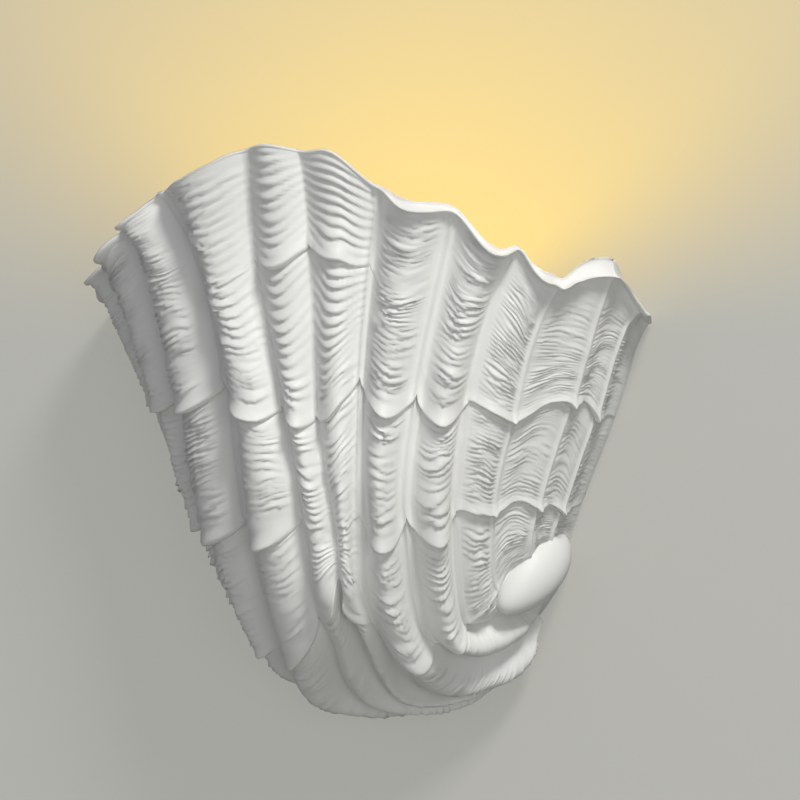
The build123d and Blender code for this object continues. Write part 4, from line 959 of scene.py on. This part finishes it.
def grain_group():
    """Speckle and soft blotches: colour, roughness and height vary over the surface."""
    group, inlet, outlet = new_group(
        "surface_grain",
        [
            ("Colour", "NodeSocketColor", (0.8, 0.8, 0.8, 1)),
            ("Speckle Size", "NodeSocketFloat", 1.0),
            ("Blotch Size", "NodeSocketFloat", 20.0),
            ("Colour Change", "NodeSocketFloat", 0.05),
            ("Roughness", "NodeSocketFloat", 0.5),
            ("Roughness Change", "NodeSocketFloat", 0.08),
        ],
        [
            ("Colour", "NodeSocketColor"),
            ("Roughness", "NodeSocketFloat"),
            ("Height", "NodeSocketFloat"),
        ],
    )
    given = inlet.outputs
    place = object_place(group)
    speckle = noise(group, place, maths(group, "DIVIDE", PER_METRE, given["Speckle Size"]), 3)
    blotch = noise(group, place, maths(group, "DIVIDE", PER_METRE, given["Blotch Size"]), 4)
    centred = maths(group, "ADD", maths(group, "ADD", speckle, blotch), -1)
    tone = maths(group, "MULTIPLY_ADD", centred, given["Colour Change"], 1)
    rough = maths(group, "MULTIPLY_ADD", centred, given["Roughness Change"], given["Roughness"])
    group.links.new(vectors(group, "MULTIPLY", given["Colour"], tone), outlet.inputs["Colour"])
    group.links.new(rough, outlet.inputs["Roughness"])
    group.links.new(speckle, outlet.inputs["Height"])


def streak_group():
    """Fine drawn or turned lines along one axis, as a height."""
    group, inlet, outlet = new_group(
        "drawn_lines",
        [("Stretch", "NodeSocketVector", (1, 1, 1)), ("Line Size", "NodeSocketFloat", 0.4)],
        [("Height", "NodeSocketFloat")],
    )
    drawn = vectors(group, "MULTIPLY", object_place(group), inlet.outputs["Stretch"])
    scale = maths(group, "DIVIDE", PER_METRE, inlet.outputs["Line Size"])
    group.links.new(noise(group, drawn, scale, 2), outlet.inputs["Height"])


def start_material(name, metallic=0.0):
    """A material with its shader, ready for links."""
    material = bpy.data.materials.new(name)
    material.use_nodes = True
    shader = material.node_tree.nodes["Principled BSDF"]
    shader.inputs["Metallic"].default_value = metallic
    return material, material.node_tree, shader


def add_grain(tree, shader, values):
    """The surface grain with a material's own values, which gives the shader its roughness."""
    grain = node(
        tree, "ShaderNodeGroup", values, node_tree=bpy.data.node_groups["surface_grain"]
    )
    tree.links.new(grain.outputs["Roughness"], shader.inputs["Roughness"])
    return grain


def grained(name, colour, roughness, metallic, speckle, blotch, change, bump, lines=None):
    """A plain finish: grain in colour and roughness, and a fine bump, in lines on metal stock."""
    material, tree, shader = start_material(name, metallic)
    values = {"Colour": (*colour, 1), "Speckle Size": speckle, "Blotch Size": blotch}
    values.update({"Colour Change": change, "Roughness": roughness})
    grain = add_grain(tree, shader, values)
    height = grain.outputs["Height"]
    if lines:
        drawn = bpy.data.node_groups["drawn_lines"]
        drawn = node(tree, "ShaderNodeGroup", node_tree=drawn)
        drawn.inputs["Stretch"].default_value = lines
        height = drawn.outputs["Height"]
    tree.links.new(grain.outputs["Colour"], shader.inputs["Base Color"])
    tree.links.new(add_bump(tree, height, bump, FINE_BUMP), shader.inputs["Normal"])
    return material


def plaster(colour):
    """Matte cast plaster: fine pores, faint lines along the ribs, and painted shade in its valleys
    and under its hems and wrinkles.
    """
    _, tree, shader = start_material("shell_plaster")
    values = {"Colour": (*colour, 1), "Speckle Size": 0.9, "Blotch Size": 38}
    grain = add_grain(tree, shader, {**values, "Colour Change": 0.05, "Roughness": 0.72})
    painted_shade = node(tree, "ShaderNodeAttribute", attribute_name="painted_shade").outputs["Fac"]
    # Painted shade: the plaster's colour is darkened by the shell's shade attribute.
    shade_factor = maths(tree, "MULTIPLY_ADD", painted_shade, -PAINTED_SHADE_STRENGTH, 1)
    along = node(tree, "ShaderNodeUVMap", uv_map="UVMap").outputs[0]
    normal = None
    for stretch, detail, strength, depth in PLASTER_BUMPS:
        drawn = node(tree, "ShaderNodeMapping", {"Vector": along, "Scale": stretch}).outputs[0]
        normal = add_bump(tree, noise(tree, drawn, 1, detail), strength, depth, normal)
    normal = add_bump(tree, grain.outputs["Height"], *PLASTER_PORES, normal)
    shaded_colour = scaled(tree, grain.outputs["Colour"], shade_factor)
    tree.links.new(shaded_colour, shader.inputs["Base Color"])
    tree.links.new(normal, shader.inputs["Normal"])


def opal(colour, strength):
    """The lamp's lit diffuser."""
    _, tree, shader = start_material("bulb_opal")
    values = {"Colour": LAMP_WHITE, "Roughness": 0.3, "Colour Change": 0.02}
    grain = add_grain(tree, shader, values)
    tree.links.new(grain.outputs["Colour"], shader.inputs["Base Color"])
    shader.inputs["Emission Color"].default_value = (*colour, 1)
    shader.inputs["Emission Strength"].default_value = strength


def stripe_earth_lead(tree):
    """Yellow bands round the green insulation."""
    green = next(made for made in tree.nodes if made.type == "GROUP").outputs["Colour"]
    scale, unevenness = STRIPES
    bands = {"Vector": object_place(tree), "Scale": scale, "Distortion": unevenness, "Detail": 0}
    bands = node(tree, "ShaderNodeTexWave", bands, bands_direction="DIAGONAL").outputs["Fac"]
    share = ranged(tree, bands, *STRIPE_EDGE, 0, 1)
    yellow = vectors(tree, "SUBTRACT", STRIPE_YELLOW, green)
    both = vectors(tree, "MULTIPLY_ADD", yellow, share, green)
    tree.links.new(both, tree.nodes["Principled BSDF"].inputs["Base Color"])


def make_materials(settings):
    """A procedural finish for every slot, which no piece wears yet.

    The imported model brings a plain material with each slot's name. The finish made here gets a
    number after that name, and each piece is given the plain one.
    """
    grain_group()
    streak_group()
    plaster(settings.plaster)
    opal(settings.glow, settings.glow_strength)
    made = {finish[0]: grained(*finish) for finish in FINISHES}
    stripe_earth_lead(made["lead_green"].node_tree)
    for entry in frame["record"]["subparts"]:
        shown = NODES[entry["node"]]
        shown.data.materials.clear()
        shown.data.materials.append(bpy.data.materials[entry["material_slot"]])


# --- Stage --------------------------------------------------------------------------------------
def glow_fade(tree):
    """How strong the painted pool of the lamp's warm light is on each place of the wall."""
    place = node(tree, "ShaderNodeSeparateXYZ", {0: object_place(tree)})
    across = maths(tree, "SUBTRACT", place.outputs["X"], GLOW_CENTRE[0] * MM)
    height = maths(tree, "SUBTRACT", place.outputs["Z"], GLOW_CENTRE[1] * MM)
    turn = maths(tree, "ABSOLUTE", maths(tree, "ARCTAN2", across, height))
    sector = ranged(tree, turn, *GLOW_ANGLE, 1, 0, "SMOOTHSTEP")
    squares = maths(tree, "MULTIPLY", across, across)
    distance = maths(tree, "MULTIPLY_ADD", height, height, squares)
    spread = maths(tree, "DIVIDE", distance, (GLOW_REACH * MM) ** 2)
    return maths(tree, "DIVIDE", sector, maths(tree, "ADD", spread, 1))


def wall_material(colour, glow):
    """The wall's paint, with a pool of the lamp's warm light painted on it above the shell."""
    material, tree, shader = start_material("stage_wall")
    values = {"Colour": (*colour, 1), "Blotch Size": 300, "Colour Change": 0.02}
    grain = add_grain(tree, shader, {**values, "Roughness": 0.9}).outputs["Colour"]
    # A pool of the lamp's light painted on the wall: its colour warmed, and a warm emission that
    # also lights the bowl.
    fade = glow_fade(tree)
    change = vectors(tree, "SUBTRACT", vectors(tree, "MULTIPLY", grain, GLOW_TINT), grain)
    warmed = vectors(tree, "MULTIPLY_ADD", change, fade, grain)
    seen = node(tree, "ShaderNodeLightPath").outputs["Is Camera Ray"]
    plain = scaled(tree, warmed, maths(tree, "MULTIPLY", seen, WALL_LEVEL))
    shine = scaled(tree, tuple(glow), maths(tree, "MULTIPLY", fade, GLOW_LEVEL))
    lit = scaled(tree, warmed, WALL_LIT_SHARE)
    tree.links.new(lit, shader.inputs["Base Color"])
    tree.links.new(vectors(tree, "ADD", plain, shine), shader.inputs["Emission Color"])
    shader.inputs["Emission Strength"].default_value = 1.0
    see_through = node(tree, "ShaderNodeBsdfTransparent").outputs[0]
    behind = node(tree, "ShaderNodeNewGeometry").outputs["Backfacing"]
    mix = node(tree, "ShaderNodeMixShader", {0: behind, 1: shader.outputs[0], 2: see_through})
    tree.links.new(mix.outputs[0], tree.nodes["Material Output"].inputs["Surface"])
    return material


def plane(name, corners, material):
    """A flat stage piece through four corners, in metres."""
    bm = bmesh.new()
    bm.faces.new([bm.verts.new(corner) for corner in corners])
    mesh = bpy.data.meshes.new(name)
    bm.to_mesh(mesh)
    bm.free()
    mesh.materials.append(material)
    made = bpy.data.objects.new(name, mesh)
    bpy.context.scene.collection.objects.link(made)
    return made


def area_light(name, place, size, power, colour):
    """A soft square light that faces the object."""
    data = bpy.data.lights.new(name, "AREA")
    data.shape = "SQUARE"
    data.size = size
    data.energy = power
    data.color = colour
    lamp = bpy.data.objects.new(name, data)
    lamp.location = place
    towards = Vector(LIGHT_TARGET) - Vector(place)
    lamp.rotation_euler = towards.to_track_quat("-Z", "Y").to_euler()
    bpy.context.scene.collection.objects.link(lamp)


def add_camera(scene, settings):
    """The camera, level and to the right of straight in front."""
    camera = bpy.data.cameras.new("camera")
    camera.sensor_width = SENSOR_WIDTH
    camera.lens = camera.sensor_width * settings.view_distance / settings.view_width
    camera.clip_end = FAR_END
    turn = settings.view_azimuth
    away = Vector((math.sin(turn), -math.cos(turn), 0))
    viewer = bpy.data.objects.new("camera", camera)
    viewer.location = Vector(VIEW_AIM) * MM + away * settings.view_distance
    viewer.rotation_euler = (-away).to_track_quat("-Z", "Y").to_euler()
    scene.collection.objects.link(viewer)
    scene.camera = viewer


# --- Settings -----------------------------------------------------------------------------------
class ShellSettings(bpy.types.PropertyGroup):
    row_spacing: FloatProperty(
        name="Row spacing", description="Distance between the shell's rows of faces",
        default=0.00105, unit="LENGTH",
    )
    hem_height: FloatProperty(
        name="Hem height", description="How far a layer of growth stands over the older one",
        default=0.0092, unit="LENGTH",
    )
    wrinkle_depth: FloatProperty(
        name="Wrinkle depth", description="Depth of the fine growth wrinkles",
        default=0.0029, unit="LENGTH",
    )
    wrinkle_spacing: FloatProperty(
        name="Wrinkle spacing", description="Distance between the fine growth wrinkles",
        default=0.0056, unit="LENGTH",
    )


class FinishSettings(bpy.types.PropertyGroup):
    plaster: FloatVectorProperty(
        name="Plaster", description="Colour of the cast shell",
        default=(0.775, 0.775, 0.755), size=3, subtype="COLOR",
    )
    glow: FloatVectorProperty(
        name="Glow", description="Colour of the lamp's light",
        default=(1.0, 0.67, 0.22), size=3, subtype="COLOR",
    )
    glow_strength: FloatProperty(
        name="Glow strength", description="Brightness of the lit diffuser", default=5.0
    )


class StageSettings(bpy.types.PropertyGroup):
    wall_colour: FloatVectorProperty(
        name="Wall", description="Colour of the wall behind the light",
        default=(0.60, 0.60, 0.555), size=3, subtype="COLOR",
    )
    view_azimuth: FloatProperty(
        name="View azimuth", description="Camera's angle round the light from straight in front",
        default=math.radians(28), subtype="ANGLE",
    )
    view_distance: FloatProperty(
        name="View distance", description="From the camera to the aim point",
        default=3.0, unit="LENGTH",
    )
    view_width: FloatProperty(
        name="View width", description="Width of the picture at the aim point",
        default=0.52, unit="LENGTH",
    )


# --- Operators ----------------------------------------------------------------------------------
def finished(bm, name):
    """A smooth-shaded mesh from a finished bmesh."""
    bmesh.ops.recalc_face_normals(bm, faces=bm.faces)
    for face in bm.faces:
        face.smooth = True
    mesh = bpy.data.meshes.new(name)
    bm.to_mesh(mesh)
    bm.free()
    return mesh


class SCONCE_OT_finishes(bpy.types.Operator):
    """Make every finish and give the fittings theirs"""

    bl_idname = "sconce.finishes"
    bl_label = "Finishes"

    def execute(self, context):
        make_materials(context.scene.sconce_finish)
        return {"FINISHED"}


class SCONCE_OT_shell(bpy.types.Operator):
    """Model the cast plaster shell"""

    bl_idname = "sconce.shell"
    bl_label = "Shell"

    def execute(self, context):
        mesh = finished(shell_mesh(context.scene.sconce_shell), "shell_plaster_casting")
        make_object("shell_plaster_casting", mesh, "shell", "shell_plaster", "shell_casting")
        return {"FINISHED"}


class SCONCE_OT_fittings(bpy.types.Operator):
    """Model the screw threads and the felt pads"""

    bl_idname = "sconce.fittings"
    bl_label = "Fittings"

    def execute(self, context):
        cap = finished(bulb_cap(), "cap")
        cap = make_object("bulb_cap_threaded", cap, "lamp", "cap_nickel", "bulb_cap")
        sleeve = finished(screw_sleeve(), "sleeve")
        sleeve = make_object(
            "screw_sleeve_threaded", sleeve, "wall_side", "fitting_brass", "screw_sleeve"
        )
        for piece in (cap, sleeve):
            piece.data.set_sharp_from_angle(angle=math.radians(50))
        pads = finished(felt_pads(), "pads")
        pads = make_object("back_pads_felt", pads, "shell", "pad_felt", "back_pads")
        return {"FINISHED"}


class SCONCE_OT_stage(bpy.types.Operator):
    """Set up the wall, floor, lights and camera"""

    bl_idname = "sconce.stage"
    bl_label = "Stage"

    def execute(self, context):
        settings = context.scene.sconce_stage
        wall = wall_material(settings.wall_colour, context.scene.sconce_finish.glow)
        reach, low, gap = STAGE_REACH, FLOOR_HEIGHT, WALL_GAP
        base = [(-reach, gap, low), (reach, gap, low)]
        board = plane("stage_wall", [*base, (reach, gap, reach), (-reach, gap, reach)], wall)
        board.visible_shadow = False
        floor = grained("stage_floor", FLOOR_COLOUR, 0.8, 0, 1, 200, 0.02, 0.02)
        front = [(-reach, -reach, low), (reach, -reach, low)]
        plane("stage_floor", [*front, *reversed(base)], floor)
        world = bpy.data.worlds.new("stage_world")
        world.use_nodes = True
        sky = world.node_tree.nodes["Background"]
        sky.inputs["Color"].default_value = SKY_COLOUR
        sky.inputs["Strength"].default_value = SKY_STRENGTH
        context.scene.world = world
        for light in LIGHTS:
            area_light(*light)
        add_camera(context.scene, settings)
        context.scene.view_settings.view_transform = "Standard"
        return {"FINISHED"}


class SCONCE_PT_panel(bpy.types.Panel):
    """Lists the sconce's settings and steps"""

    bl_idname = "SCONCE_PT_panel"
    bl_label = "Shell Wall Sconce"
    bl_space_type = "VIEW_3D"
    bl_region_type = "UI"
    bl_category = "Sconce"

    def draw(self, context):
        scene = context.scene
        for settings in (scene.sconce_finish, scene.sconce_shell, scene.sconce_stage):
            for name in settings.__annotations__:
                self.layout.prop(settings, name)
        for step in STEPS:
            self.layout.operator(step.bl_idname)


STEPS = (SCONCE_OT_finishes, SCONCE_OT_shell, SCONCE_OT_fittings, SCONCE_OT_stage)
CLASSES = (ShellSettings, FinishSettings, StageSettings, *STEPS, SCONCE_PT_panel)


def register():
    for item in CLASSES:
        bpy.utils.register_class(item)
    bpy.types.Scene.sconce_shell = PointerProperty(type=ShellSettings)
    bpy.types.Scene.sconce_finish = PointerProperty(type=FinishSettings)
    bpy.types.Scene.sconce_stage = PointerProperty(type=StageSettings)


def unregister():
    del bpy.types.Scene.sconce_stage
    del bpy.types.Scene.sconce_finish
    del bpy.types.Scene.sconce_shell
    for item in reversed(CLASSES):
        bpy.utils.unregister_class(item)


def main():
    register()
    bpy.ops.sconce.finishes()
    bpy.ops.sconce.shell()
    bpy.ops.sconce.fittings()
    bpy.ops.sconce.stage()


if __name__ == "__main__":
    main()
